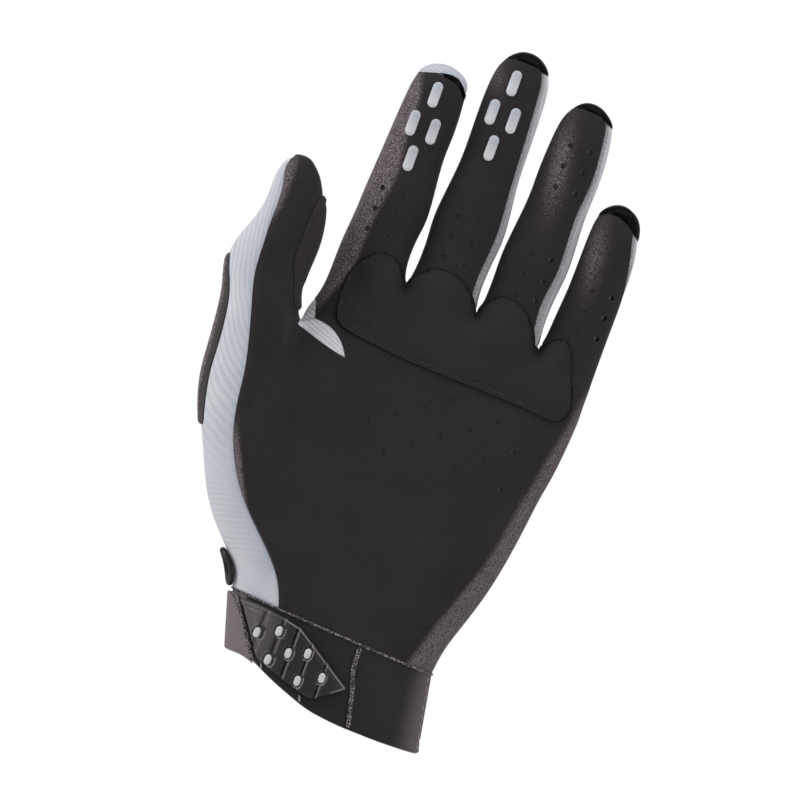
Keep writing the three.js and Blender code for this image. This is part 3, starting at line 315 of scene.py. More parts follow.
def slant(x, up):
    """How far the wrist's slanting edge lifts a point of the palm."""
    return -WRIST_SLANT * ((x - WRIST_SHIFT) / WRIST_WIDTH) * (1 - smooth(up / SLANT_END))


def hollow(x, z):
    """Depth of the palm's hollow at a place."""
    dx = (x - KNUCKLE_SHIFT + HOLLOW_SHIFT) / (PALM_WIDTH * HOLLOW_WIDTH)
    dz = (z - palm_z(HOLLOW_UP)) / (PALM_LENGTH * HOLLOW_LENGTH)
    return PALM_HOLLOW * math.exp(-dx * dx - dz * dz)


def columns(bounds):
    xs = [bounds[0]]
    for low, high in zip(bounds, bounds[1:]):
        xs += spread(low, high, FACES)[1:]
    return xs


def right_angles(seam):
    corner = max(FRONT_CORNER, seam + 30)
    return [corner, (corner + seam) / 2, seam, (seam + BACK_CORNER) / 2, BACK_CORNER]


class Cage:
    """The hand as rings of quads, each labelled with its panel, part and digit."""

    def __init__(self):
        self.points = []
        self.quads = []
        self.labels = []

    def put(self, x, y, z):
        self.points.append([x, y, z])
        return len(self.points) - 1

    @staticmethod
    def loop(ring):
        return ring["front"] + ring["right"] + ring["back"][::-1] + ring["left"][::-1]

    def join(self, lower, upper, across, label, digit):
        a, b = self.loop(lower), self.loop(upper)
        parts = ["front"] * across + ["right"] * FACES + ["back"] * across + ["left"] * FACES
        for i, part in enumerate(parts):
            j = (i + 1) % len(a)
            self.quads.append((a[i], a[j], b[j], b[i]))
            self.labels.append((label(part, i - across), part, digit))

    def palm_ring(self, row):
        up, to_left, to_right, seam, to_inner, forward, thumb_deep, palm_left, palm_deep = row
        z = palm_z(up)
        left = lerp(WRIST_LEFT, THUMB_LEFT, to_left)
        right = lerp(WRIST_RIGHT, LITTLE_RIGHT, to_right)
        inner = lerp(WRIST_RIGHT, THUMB_RIGHT, to_inner)
        start = lerp(WRIST_LEFT, CROTCH_X, palm_left)
        thumb = dict(
            x=(left + inner) / 2, half_width=(inner - left) / 2, y=-THUMB_FORWARD * forward,
            half_depth=lerp(WRIST_DEPTH, THUMB_DEPTH, thumb_deep) / 2, power=DIGIT_POWER,
            mound=min(1, up / MOUND_FULL)
            * (1 - smooth((up - MOUND_FADE) / (CROTCH_ROW - MOUND_FADE))),
        )
        palm = dict(
            x=(start + right) / 2, half_width=(right - start) / 2, y=0,
            half_depth=lerp(WRIST_DEPTH, PALM_DEPTH, palm_deep) / 2,
            power=lerp(DIGIT_POWER, PALM_POWER, palm_deep),
        )
        seam_x = left + THUMB_WIDTH * seam
        seam_angle = math.degrees(math.acos((thumb["x"] - seam_x) / thumb["half_width"]))
        right_rim = [rim(palm, 1, angle) for angle in right_angles(LITTLE_SIDE_SEAM)]
        left_rim = [rim(thumb, -1, angle) for angle in spread(seam_angle, BACK_CORNER, FACES)]
        share = smooth(up / CROTCH_ROW)
        blend = THUMB_BLEND * smooth(up / BLEND_FULL)

        def row_of(low, high):
            inside = [
                lerp(lerp(low, high, (k + 1) / (len(CROTCHES) + 1)), crotch[0], share)
                for k, crotch in enumerate(CROTCHES)
            ]
            return columns([low, *inside, high])

        def at(x, y):
            return self.put(x, y, z + slant(x, up))

        return dict(
            front=[at(x, -blended_rise((thumb, palm), x, -1, blend) + hollow(x, z))
                   for x in row_of(seam_x, right_rim[0][0])],
            right=[at(*spot) for spot in right_rim[1:4]],
            back=[at(x, blended_rise((thumb, palm), x, 1, blend))
                  for x in row_of(left_rim[4][0], right_rim[4][0])],
            left=[at(*spot) for spot in left_rim[1:4]],
        )

    def knuckle_ring(self, row, is_top):
        up, side, deep, scallop = row
        left = lerp(CROTCH_X, INDEX_LEFT, side)
        section = dict(
            x=(left + LITTLE_RIGHT) / 2, half_width=(LITTLE_RIGHT - left) / 2, y=0,
            half_depth=PALM_DEPTH * deep / 2, power=PALM_POWER,
        )
        right_rim = [rim(section, 1, angle) for angle in right_angles(LITTLE_SIDE_SEAM)]
        left_rim = [rim(section, -1, angle) for angle in spread(FRONT_CORNER, BACK_CORNER, FACES)]
        xs = [crotch[0] for crotch in CROTCHES[1:]]
        drops = [(crotch[1] - 1) * PALM_LENGTH for crotch in CROTCHES[1:]]

        def fall(x):
            return float(np.interp(x, xs, drops)) if is_top else 0.0

        def row_at(places, towards):
            made = []
            for j, x in enumerate(places):
                middle = 1 if j % FACES == 0 else VALLEY_FLANK if j % 2 else 0
                ends = j in (0, len(places) - 1)
                height = rise(section, x, towards) * (1 if ends else 1 - VALLEY * scallop * middle)
                dent = hollow(x, palm_z(up)) if towards < 0 else 0
                made.append(self.put(x, towards * height + dent, palm_z(up) + fall(x)))
            return made

        def at(x, y):
            return self.put(x, y, palm_z(up) + fall(x))

        return dict(
            front=row_at(columns([left_rim[0][0], *xs, right_rim[0][0]]), -1),
            right=[at(*spot) for spot in right_rim[1:4]],
            back=row_at(columns([left_rim[4][0], *xs, right_rim[4][0]]), 1),
            left=[at(*spot) for spot in left_rim[1:4]],
        )

    def web(self, crotch, front, back):
        low, high = self.points[front][1], self.points[back][1]
        return [self.put(crotch[0], lerp(low, high, share), palm_z(crotch[1]))
                for share in WEB_SHARES]

    def digit_ring(self, digit, row):
        along, to_left, to_right, deep, seam = row
        is_thumb = digit["name"] == "thumb"
        left = digit["centre"] + digit["width"] * to_left
        right = digit["centre"] + digit["width"] * to_right
        section = dict(
            x=(left + right) / 2, half_width=(right - left) / 2,
            y=(-THUMB_FORWARD if is_thumb else 0) - FINGER_CURL * along ** 2,
            half_depth=digit["depth"] * deep / 2, power=DIGIT_POWER,
        )
        z = digit["foot"] + digit["length"] * along
        left_angles = spread(seam if is_thumb else FRONT_CORNER, BACK_CORNER, FACES)
        on_right = spread(FRONT_CORNER if is_thumb else seam, BACK_CORNER, FACES)
        if not is_thumb and digit["on_palm"]:
            on_right = right_angles(seam)

        def across(start, end, turn):
            made = []
            for angle in spread(start, end, FACES):
                side = -1 if math.cos(math.radians(angle)) < 0 else 1
                made.append(self.put(*rim(section, side, turn - angle if side < 0 else angle), z))
            return made

        return dict(
            front=across(180 - left_angles[0], on_right[0], 180),
            right=[self.put(*rim(section, 1, angle), z) for angle in on_right[1:4]],
            back=across(-180 - left_angles[4], on_right[4], -180),
            left=[self.put(*rim(section, -1, angle), z) for angle in left_angles[1:4]],
        )

    def close_tip(self, digit, ring, number):
        loop = self.loop(ring)
        n = FACES
        middle = [
            digit["centre"] + digit["width"] * digit["tip"],
            sum(self.points[p][1] for p in loop) / len(loop),
            digit["foot"] + digit["length"],
        ]

        def at(i, j):
            if j == 0:
                return loop[i]
            if i == n:
                return loop[n + j]
            if j == n:
                return loop[3 * n - i]
            if i == 0:
                return loop[(4 * n - j) % len(loop)]
            return None

        grid = []
        for i in range(n + 1):
            grid.append([])
            for j in range(n + 1):
                spot = at(i, j)
                if spot is None and (i, j) == (2, 2):
                    spot = self.put(*middle)
                elif spot is None:
                    edge = self.points[at(2 * i - 2, 2 * j - 2)]
                    spot = self.put(
                        lerp(middle[0], edge[0], TIP_SHARE), lerp(middle[1], edge[1], TIP_SHARE),
                        middle[2] - (middle[2] - edge[2]) * TIP_SHARE ** 2,
                    )
                grid[i].append(spot)
        panel = "palm" if number == THUMB else "back"
        for i in range(n):
            for j in range(n):
                self.quads.append((grid[i][j], grid[i + 1][j], grid[i + 1][j + 1], grid[i][j + 1]))
                self.labels.append((panel, "tip", number))

    def grow(self, number, ring):
        digit = DIGITS[number]

        def label(part, step):
            if part == "right":
                return "palm" if step < digit["on_palm"] else "back"
            if part == "left":
                return "back" if number == THUMB else "palm"
            return "palm" if part == "front" else "back"

        for row in digit["rows"]:
            upper = self.digit_ring(digit, row)
            self.join(ring, upper, FACES, label, number)
            ring = upper
        self.close_tip(digit, ring, number)


def palm_label(left_panel):
    def label(part, step):
        if part == "right":
            return "palm" if step < 2 else "back"
        if part == "left":
            return left_panel
        return "palm" if part == "front" else "back"
    return label


def hand_cage():
    """The whole hand's cage, and the loop of its open wrist."""
    cage = Cage()
    ring = cage.palm_ring(PALM_ROWS[0])
    wrist = cage.loop(ring)
    for row in PALM_ROWS[1:]:
        upper = cage.palm_ring(row)
        cage.join(ring, upper, FACES * 5, palm_label("back"), -1)
        ring = upper
    web = cage.web(CROTCHES[0], ring["front"][FACES], ring["back"][FACES])
    cage.grow(THUMB, dict(
        front=ring["front"][:FACES + 1], back=ring["back"][:FACES + 1], left=ring["left"], right=web,
    ))
    ring = dict(front=ring["front"][FACES:], back=ring["back"][FACES:], right=ring["right"], left=web)
    for i, row in enumerate(KNUCKLE_ROWS):
        upper = cage.knuckle_ring(row, i == len(KNUCKLE_ROWS) - 1)
        cage.join(ring, upper, FACES * 4, palm_label("palm"), -1)
        ring = upper
    sides = [ring["left"]]
    for k, crotch in enumerate(CROTCHES[1:], 1):
        sides.append(cage.web(crotch, ring["front"][FACES * k], ring["back"][FACES * k]))
    sides.append(ring["right"])
    for k in range(4):
        low = FACES * k
        cage.grow(k + 1, dict(
            front=ring["front"][low:low + FACES + 1], back=ring["back"][low:low + FACES + 1],
            left=sides[k], right=sides[k + 1],
        ))
    fair(cage, set(wrist))
    return cage, wrist


def fair(cage, held):
    """Evens out the depth of the palm and of the hand's back, between the seams and the digits."""
    near = [set() for _ in cage.points]
    for corners, (_, part, digit) in zip(cage.quads, cage.labels):
        for i, p in enumerate(corners):
            near[p] |= {corners[(i + 1) % 4], corners[(i + 3) % 4]}
            if digit >= 0 or part in ("left", "right"):
                held.add(p)
    for _ in range(FAIRING_PASSES):
        evened = [
            point[1] if p in held
            else (point[1] + sum(cage.points[q][1] for q in near[p]) / len(near[p])) / 2
            for p, point in enumerate(cage.points)
        ]
        for point, y in zip(cage.points, evened):
            point[1] = y


def limit_places(points, quads, rim_loop):
    """Where a subdivided cage's points end up."""
    edges = np.zeros_like(points)
    diagonals = np.zeros_like(points)
    count = np.zeros(len(points))
    for i in range(4):
        here = quads[:, i]
        np.add.at(edges, here, points[quads[:, (i + 1) % 4]] + points[quads[:, (i + 3) % 4]])
        np.add.at(diagonals, here, points[quads[:, (i + 2) % 4]])
        np.add.at(count, here, 1)
    n = count[:, None]
    places = (n * n * points + 2 * edges + diagonals) / (n * (n + 5))
    loop = np.array(rim_loop)
    places[loop] = (np.roll(points[loop], 1, 0) + 4 * points[loop] + np.roll(points[loop], -1, 0)) / 6
    return places


# Meshes

def alone(obj):
    """Selects one object, and makes it the active one."""
    bpy.ops.object.select_all(action="DESELECT")
    obj.select_set(True)
    bpy.context.view_layer.objects.active = obj
    return obj


def mesh_of(name, points, faces, is_smooth=True):
    """A mesh object from points in millimetres."""
    mesh = bpy.data.meshes.new(name)
    mesh.from_pydata((np.asarray(points, float) * MM).tolist(), [], faces)
    obj = bpy.data.objects.new(name, mesh)
    bpy.context.scene.collection.objects.link(obj)
    if is_smooth:
        mesh.shade_smooth()
    return alone(obj)


def apply(obj, kind, **settings):
    """Adds a modifier and applies it."""
    alone(obj)
    modifier = obj.modifiers.new(kind.title(), kind)
    for key, value in settings.items():
        setattr(modifier, key, value)
    bpy.ops.object.modifier_apply(modifier=modifier.name)
    return obj


def remove(*objects):
    for obj in objects:
        bpy.data.objects.remove(obj)


def outward(obj):
    """Turns a closed mesh's faces outward, and drops the points that no face uses."""
    alone(obj)
    bpy.ops.object.mode_set(mode="EDIT")
    bpy.ops.mesh.select_all(action="SELECT")
    bpy.ops.mesh.normals_make_consistent(inside=False)
    bpy.ops.mesh.delete_loose()
    bpy.ops.object.mode_set(mode="OBJECT")
    return obj


def pattern_of(add, **settings):
    """The points in millimetres and the faces of a primitive, which is removed again."""
    bpy.ops.object.select_all(action="DESELECT")
    add(**settings)
    pattern = bpy.context.view_layer.objects.active
    points = spots_of(pattern)
    faces = [list(polygon.vertices) for polygon in pattern.data.polygons]
    remove(pattern)
    return points, faces


def finished(obj, material, nodes=()):
    """Gives a piece its material, its body and the nodes that it stands for."""
    obj.data.materials.clear()
    obj.data.materials.append(material)
    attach(obj, ROOT)
    if nodes:
        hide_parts(*nodes)
    return obj


def cut(obj, cutter, operation="DIFFERENCE"):
    """Cuts an object with a closed cutter, or joins the two or keeps what they share."""
    apply(obj, "BOOLEAN", object=cutter, operation=operation, solver="MANIFOLD")
    obj.data.shade_smooth()
    return obj


def crisp(obj, degrees):
    """Shades an object smooth, with its edges sharp from an angle up."""
    alone(obj)
    bpy.ops.object.shade_smooth_by_angle(angle=math.radians(degrees))
    return obj


def prism(outline, near, far, axes="XZ"):
    """A closed prism of an outline, between two values of the axis that it leaves out."""
    n = len(outline)
    if axes == "XZ":
        points = [(x, y, z) for y in (near, far) for x, z in outline]
    else:
        points = [(x, y, z) for x in (near, far) for y, z in outline]
    faces = [list(range(n)), list(range(n, 2 * n))[::-1]]
    faces += [[i, i + n, (i + 1) % n + n, (i + 1) % n] for i in range(n)]
    return outward(mesh_of("Cutter", points, faces, False))


def bezier(start, *curves, steps=24):
    """Points along a run of cubic curves, in the outline's plane."""
    points = [start]
    for a, b, end in curves:
        p = points[-1]
        for i in range(1, steps + 1):
            t = i / steps
            s = 1 - t
            points.append(tuple(
                s ** 3 * p[k] + 3 * s * s * t * a[k] + 3 * s * t * t * b[k] + t ** 3 * end[k]
                for k in (0, 1)
            ))
    return points


def run_along(line):
    """How far along a line each of its points lies."""
    gaps = np.linalg.norm(np.diff(line, axis=0), axis=1)
    return np.concatenate([[0], np.cumsum(gaps)])


def evenly(points, step, closed=True):
    """The same line with points at even distances."""
    line = np.array(points, float)
    if closed:
        line = np.vstack([line, line[:1]])
    along = run_along(line)
    count = max(int(round(along[-1] / step)), 3)
    at = np.linspace(0, along[-1], count + 1)
    if closed:
        at = at[:-1]
    return np.stack([np.interp(at, along, line[:, k]) for k in range(line.shape[1])], 1)


def rounded(points, radius, steps=5):
    """An outline with its corners rounded."""
    made = []
    n = len(points)
    for i, p in enumerate(points):
        p = np.array(p, float)
        before = np.array(points[i - 1], float) - p
        after = np.array(points[(i + 1) % n], float) - p
        reach = min(radius, np.linalg.norm(before) * 0.45, np.linalg.norm(after) * 0.45)
        a = p + before / np.linalg.norm(before) * reach
        b = p + after / np.linalg.norm(after) * reach
        for t in spread(0, 1, steps):
            made.append(tuple((1 - t) ** 2 * a + 2 * t * (1 - t) * p + t * t * b))
    return made


def depth_inside(spots, outline):
    """Distance of each spot in from an outline, below zero outside it."""
    spots = np.asarray(spots, float)
    a = np.asarray(outline, float)
    b = np.roll(a, -1, 0)
    best = np.full(len(spots), 1e9)
    crossings = np.zeros(len(spots), int)
    for p, q in zip(a, b):
        d = q - p
        t = np.clip(((spots - p) @ d) / max(d @ d, 1e-12), 0, 1)
        best = np.minimum(best, np.linalg.norm(spots - (p + t[:, None] * d), axis=1))
        if p[1] != q[1]:
            over = (spots[:, 1] >= min(p[1], q[1])) & (spots[:, 1] < max(p[1], q[1]))
            x = p[0] + (spots[:, 1] - p[1]) / (q[1] - p[1]) * d[0]
            crossings += over & (spots[:, 0] < x)
    return np.where(crossings % 2 == 1, best, -best)


def shoulder(depth, reach):
    """A rounded edge: 0 on the outline and 1 from reach inwards."""
    t = 1 - np.clip(depth / reach, 0, 1)
    return np.sqrt(np.clip(1 - t * t, 0, 1))


class Surface:
    """A dense skin that layers and patches lie on."""

    def __init__(self, points, normals, faces):
        self.points = points
        self.normals = normals
        self.faces = faces
        self.tree = BVHTree.FromPolygons(points.tolist(), faces.tolist())

    def land(self, spots, direction):
        """Where rays meet the skin, and its smooth normals there."""
        direction = Vector(direction).normalized()
        places = np.empty((len(spots), 3))
        normals = np.empty((len(spots), 3))
        for i, spot in enumerate(spots):
            start = Vector(spot) - direction * FAR
            place, _, face, _ = self.tree.ray_cast(start, direction)
            if place is None:
                place, _, face, _ = self.tree.find_nearest(Vector(spot))
            place = np.array(place)
            corners = self.faces[face]
            weight = 1 / (np.linalg.norm(self.points[corners] - place, axis=1) + 1e-3)
            normal = weight @ self.normals[corners]
            places[i] = place
            normals[i] = normal / np.linalg.norm(normal)
        return places, normals


# From in front, a spot of an outline in X and Z meets a surface along Y
INWARD = (0, 1, 0)

# A patch's rows of points beside its outline, by their distances in from it, and the pitch of
# its grid's rows for one step, in triangles of even sides
PATCH_RINGS = (0.12, 0.3, 0.55, 0.85)
ROW_PITCH = 0.866


def in_front(flat):
    """Spots of an outline in X and Z, as places in the part's frame."""
    return np.stack([flat[:, 0], np.zeros(len(flat)), flat[:, 1]], 1)


def patch(name, surface, outline, height, step, lift=0.05):
    """A raised layer inside an outline, which lies on a surface. Height is a function of
    the spots and of their distance in from the outline."""
    outline = np.asarray(outline, float)
    x, z = outline.T
    if np.sum(x * np.roll(z, -1) - z * np.roll(x, -1)) < 0:
        outline = outline[::-1]
    n = len(outline)
    edge = np.roll(outline, -1, 0) - np.roll(outline, 1, 0)
    normal = np.stack([-edge[:, 1], edge[:, 0]], 1) / np.linalg.norm(edge, axis=1)[:, None]
    spots = []
    for depth in PATCH_RINGS:
        ring = outline + normal * depth
        spots.append(ring[depth_inside(ring, outline) > depth * 0.9])
    low, high = outline.min(0), outline.max(0)
    xs = np.arange(low[0], high[0], step)
    zs = np.arange(low[1], high[1], step * ROW_PITCH)
    grid = np.array([(x + (step / 2 if j % 2 else 0), z) for j, z in enumerate(zs) for x in xs])
    spots.append(grid[depth_inside(grid, outline) > PATCH_RINGS[-1] + step / 2])
    flat = [Vector(p) for p in np.vstack([outline, *spots])]
    flat, _, faces, *_ = delaunay_2d_cdt(flat, [], [list(range(n))], 1, 1e-5)
    flat = np.array([tuple(p) for p in flat])
    depth = np.maximum(depth_inside(flat, outline), 0)
    places, normals = surface.land(in_front(flat), INWARD)
    top = places + normals * height(flat, depth)[:, None]
    bottom = places + normals * lift
    count = len(flat)
    faces = [list(face) for face in faces]
    used = dict.fromkeys(
        (p, face[(i + 1) % len(face)]) for face in faces for i, p in enumerate(face)
    )
    walls = [[b, a, a + count, b + count] for a, b in used if (b, a) not in used]
    solid = faces + [[p + count for p in face[::-1]] for face in faces] + walls
    return outward(mesh_of(name, np.vstack([top, bottom]), solid))


@functools.lru_cache(maxsize=1)
def hand():
    """The hand's skin, subdivided from its cage: its surface, its labels and its seams."""
    cage, wrist = hand_cage()
    quads = np.array(cage.quads)
    aim = np.array(cage.points, float)
    points = aim.copy()
    for _ in range(FITTING_PASSES):
        points += FITTING_STEP * (aim - limit_places(points, quads, wrist))
    levels = bpy.context.scene.glove_sizes.levels
    obj = mesh_of("Skin", points, quads.tolist())
    apply(obj, "SUBSURF", levels=levels, render_levels=levels)
    mesh = obj.data
    skin = spots_of(obj)
    normals = np.empty(len(mesh.vertices) * 3)
    mesh.vertex_normals.foreach_get("vector", normals)
    faces = np.empty(len(mesh.loops), int)
    mesh.loops.foreach_get("vertex_index", faces)
    remove(obj)
    repeats = 4 ** levels
    surface = Surface(skin, normals.reshape(-1, 3), faces.reshape(-1, 4))
    surface.on_palm = np.repeat([label[0] == "palm" for label in cage.labels], repeats)
    surface.part = np.repeat([label[1] for label in cage.labels], repeats)
    surface.digit = np.repeat([label[2] for label in cage.labels], repeats)
    palm = np.zeros(len(surface.points), bool)
    back = palm.copy()
    palm[surface.faces[surface.on_palm]] = True
    back[surface.faces[~surface.on_palm]] = True
    seam = surface.points[palm & back]
    tree = KDTree(len(seam))
    for i, spot in enumerate(seam):
        tree.insert(spot, i)
    tree.balance()
    surface.seam_tree = tree
    surface.to_seam = np.array([tree.find(p)[2] for p in surface.points])
    return surface


def layer(name, surface, chosen, low, high):
    """A closed solid over chosen faces of a surface, between two heights at each point."""
    faces = surface.faces[chosen]
    used, index = np.unique(faces, return_inverse=True)
    index = index.reshape(-1, 4)
    n = len(used)
    spots, normals = surface.points[used], surface.normals[used]
    outer = spots + normals * np.broadcast_to(high, len(surface.points))[used, None]
    inner = spots + normals * np.broadcast_to(low, len(surface.points))[used, None]
    edges = np.concatenate([index[:, [i, (i + 1) % 4]] for i in range(4)])
    keys = set(map(tuple, edges.tolist()))
    walls = [[b, a, a + n, b + n] for a, b in keys if (b, a) not in keys]
    solid = index.tolist() + (index[:, ::-1] + n).tolist() + walls
    return mesh_of(name, np.vstack([outer, inner]), solid)


# The palm's turned-in edge: its depth and width, and the height, place and width of the roll
# beside it. Then the back's
TUCK_DEPTH, TUCK_WIDTH = 0.8, 0.8
ROLL_HEIGHT, ROLL_PLACE, ROLL_WIDTH = 0.16, 2.1, 1.1
BACK_TUCK_DEPTH, BACK_TUCK_WIDTH = 0.55, 0.7


def palm_relief(surface):
    """The palm's turned-in edges, with a low roll beside them."""
    d = surface.to_seam
    return ROLL_HEIGHT * bell(d - ROLL_PLACE, ROLL_WIDTH) - TUCK_DEPTH * bell(d, TUCK_WIDTH)


# Bands of painted sheen on the suede's sides: the side each lies on, the limits of X, the
# softness of its inner edge, its strength, and that edge as rows of Z and X
PAINTED_SHEEN_BANDS = (
    (-1, -50, -30, 2.2, 0.78, ((118, -45), (125.4, -42.4), (132.5, -39.6), (138.8, -38.5),
                               (145.8, -38.6), (154.5, -37.8), (163.7, -36.2), (170, -35.8),
                               (180, -37), (195, -37.6), (203, -39.5))),
    (-1, -90, -55, 3, 0.7, ((138, -69.5), (145, -67.2), (152, -66.8), (158.6, -67), (163, -67.5))),
    (-1, -90, -30, 1.8, 0.75, ((50, -43.6), (58, -48), (68, -52.8), (74, -55.6))),
    (1, 10, 60, 2.4, 0.62, ((14, 18.8), (25, 22.2), (38, 26.2), (50, 30.5), (60, 33.8), (70, 36),
                            (80, 37.6), (90, 39.6), (100, 41.4), (112, 44), (122, 45.2))),
)

# Softer patches of painted sheen: X, Z, radius across, radius along, lean in degrees and strength
PAINTED_SHEEN_PATCHES = (
    (12.2, 189, 3.1, 14, 8, 0.62),
    (-16.5, 209, 3, 6, 25, 0.3),
    (32.8, 166, 3, 11, 8, 0.5),
)

# How dark the painted shade of the suede is in the crotches, and how far it reaches from each
CROTCH_SHADE, CROTCH_REACH = 0.6, 2.236

# Speckled painted shade on the cloth beside the fingers' seams: where it starts, how far it
# reaches by height, and its strength
FINGER_SHADE_LEFT, FINGER_SHADE_LOW, FINGER_SHADE_RAMP = -24, 119, 12
FINGER_SHADE_HEIGHTS, FINGER_SHADE_REACHES = (130, 150, 170, 200), (3.8, 2.8, 1.8, 1.4)
FINGER_SHADE_STRENGTH = 0.95

# Painted shade on the cloth along the thumb's seam: its limits, how far it reaches and its strength
SHADE_RIGHT, SHADE_TOP, SHADE_REACH, SHADE_STRENGTH = -30, 160, 9, 0.4

# The cuff's painted sheen: X of each side's edge at no height, its lean, its ramp and its strength
SHINE_LEFT, SHINE_LEAN, SHINE_LEFT_RAMP, SHINE_LEFT_STRENGTH = -21.75, 0.55, 2, 0.7
SHINE_RIGHT, SHINE_RIGHT_LEAN, SHINE_RIGHT_RAMP, SHINE_RIGHT_STRENGTH = 24, 0.12, 9, 0.4


def suede_painted_light(spots):
    """How much painted sheen each spot of the hand's suede gets, less painted shade in the crotches."""
    x, z = spots[:, 0], spots[:, 2]
    share = np.zeros(len(spots))
    for side, low, high, soft, strength, rows in PAINTED_SHEEN_BANDS:
        zs, xs = zip(*rows)
        band = smooth(side * (x - np.interp(z, zs, xs)) / soft + 0.5)
        ends = smooth((z - zs[0] + 2) / 8) * smooth((zs[-1] + 5 - z) / 12)
        share = np.maximum(share, np.where((x > low) & (x < high), strength * band * ends, 0))
    for cx, cz, across, along, lean, strength in PAINTED_SHEEN_PATCHES:
        turn = math.radians(lean)
        u = ((x - cx) * math.cos(turn) + (z - cz) * math.sin(turn)) / across
        v = ((z - cz) * math.cos(turn) - (x - cx) * math.sin(turn)) / along
        share = np.maximum(share, strength * np.exp(-(u * u + v * v)))
    # Painted shade in each crotch
    for cx, up in CROTCHES[1:]:
        share -= CROTCH_SHADE * bell(np.hypot(x - cx, z - palm_z(up) + 1), CROTCH_REACH)
    return share


def cuff_painted_sheen(spots):
    """How much painted sheen the jersey gets at each spot of the cuff: left of the strap's line
    and towards the right side."""
    x, z = spots[:, 0], spots[:, 2]
    left = smooth((SHINE_LEFT - x - SHINE_LEAN * z) / SHINE_LEFT_RAMP + 0.5)
    right = smooth((x - SHINE_RIGHT + SHINE_RIGHT_LEAN * z) / SHINE_RIGHT_RAMP)
    return np.maximum(SHINE_LEFT_STRENGTH * left, SHINE_RIGHT_STRENGTH * right)


def from_seam(spots):
    """Distance of each spot from the seam between the palm and the back."""
    tree = hand().seam_tree
    return np.array([tree.find(spot)[2] for spot in spots])


def finger_seam_shade(spots):
    """How much speckled painted shade the cloth gets beside the fingers' seams."""
    x, z = spots[:, 0], spots[:, 2]
    beside = bell(from_seam(spots), np.interp(z, FINGER_SHADE_HEIGHTS, FINGER_SHADE_REACHES))
    painted_shade = FINGER_SHADE_STRENGTH * smooth((z - FINGER_SHADE_LOW) / FINGER_SHADE_RAMP) * beside
    return np.where(x > FINGER_SHADE_LEFT, painted_shade, 0)


def seam_shade(spots):
    """How much painted shade the cloth of the thumb's side gets beside its seam with the palm."""
    shaded = SHADE_STRENGTH * smooth((SHADE_REACH - from_seam(spots)) / SHADE_REACH)
    return np.where((spots[:, 0] < SHADE_RIGHT) & (spots[:, 2] < SHADE_TOP), shaded, 0)


def paint(obj, values, name="nap"):
    """Stores a share for each point, which the material reads."""
    attribute = obj.data.attributes.new(name, "FLOAT", "POINT")
    attribute.data.foreach_set("value", np.asarray(values, np.float32))


def spots_of(obj):
    """The points of an object's mesh, in millimetres."""
    co = np.empty(len(obj.data.vertices) * 3)
    obj.data.vertices.foreach_get("co", co)
    return co.reshape(-1, 3) / MM


# Materials

# Widths and depths of what their patterns show, in millimetres. Tufts, the painted shade's speckle and the
# loops of the knit and the jersey are finer on the real cloth, and are as coarse here as they need to show
HANDLING = 18.2
SUEDE_TUFT = 0.4
JERSEY_LOOP = 0.25
NAP_DEPTH = 0.25
RIB_DRIFT, RIB_WANDER = 14.3, 1.6
LOW_RIB = 1.7
KNIT_LOOP = 0.667
CLOTH_SHADING = 25
SHADE_SPECKLE = 0.385
RIB_DEPTH = 0.3
MOTTLE = 2.38
MOTTLE_DEPTH = 0.2
MOULD_GRAIN = 1.11
MOULD_GRAIN_DEPTH = 0.1
POLISH = 11.1
YARN_LOOP = 0.5
YARN_DEPTH = 0.3

# The ribs' arcs: their centre, and how much flatter than circles they are upwards. Then the
# directions across the straight ribs and across the fine ones near the wrist
ARC_CENTRE = (-52.5, 0, 151.1)
ARC_FLATTENING = (1.0, 0.0, 0.45)
ACROSS_STRAIGHT_RIBS = (0.342, 0.0, 0.94)
ACROSS_LOW_RIBS = (-0.26, 0.0, 0.966)


def node(tree, kind, links=None, **settings):
    """Adds a node with its settings, its values and its links."""
    made = tree.nodes.new(kind)
    for key, value in settings.items():
        setattr(made, key, value)
    for key, value in (links or {}).items():
        if isinstance(value, bpy.types.NodeSocket):
            tree.links.new(value, made.inputs[key])
        else:
            made.inputs[key].default_value = value
    return made


def new_material(name, colour, **values):
    """A material of one Principled shader, with its values set on the shader's own sockets."""
    material = bpy.data.materials.new(name)
    material.use_nodes = True
    material.diffuse_color = colour
    tree = material.node_tree
    shader = tree.nodes["Principled BSDF"]
    shader.inputs["Base Color"].default_value = colour
    for key, value in values.items():
        shader.inputs[key.replace("_", " ")].default_value = value
    return material, tree, shader


def colours():
    return bpy.context.scene.glove_colours


def cells(width):
    """Scale of a noise whose grains are so many millimetres wide."""
    return 1 / (width * MM)


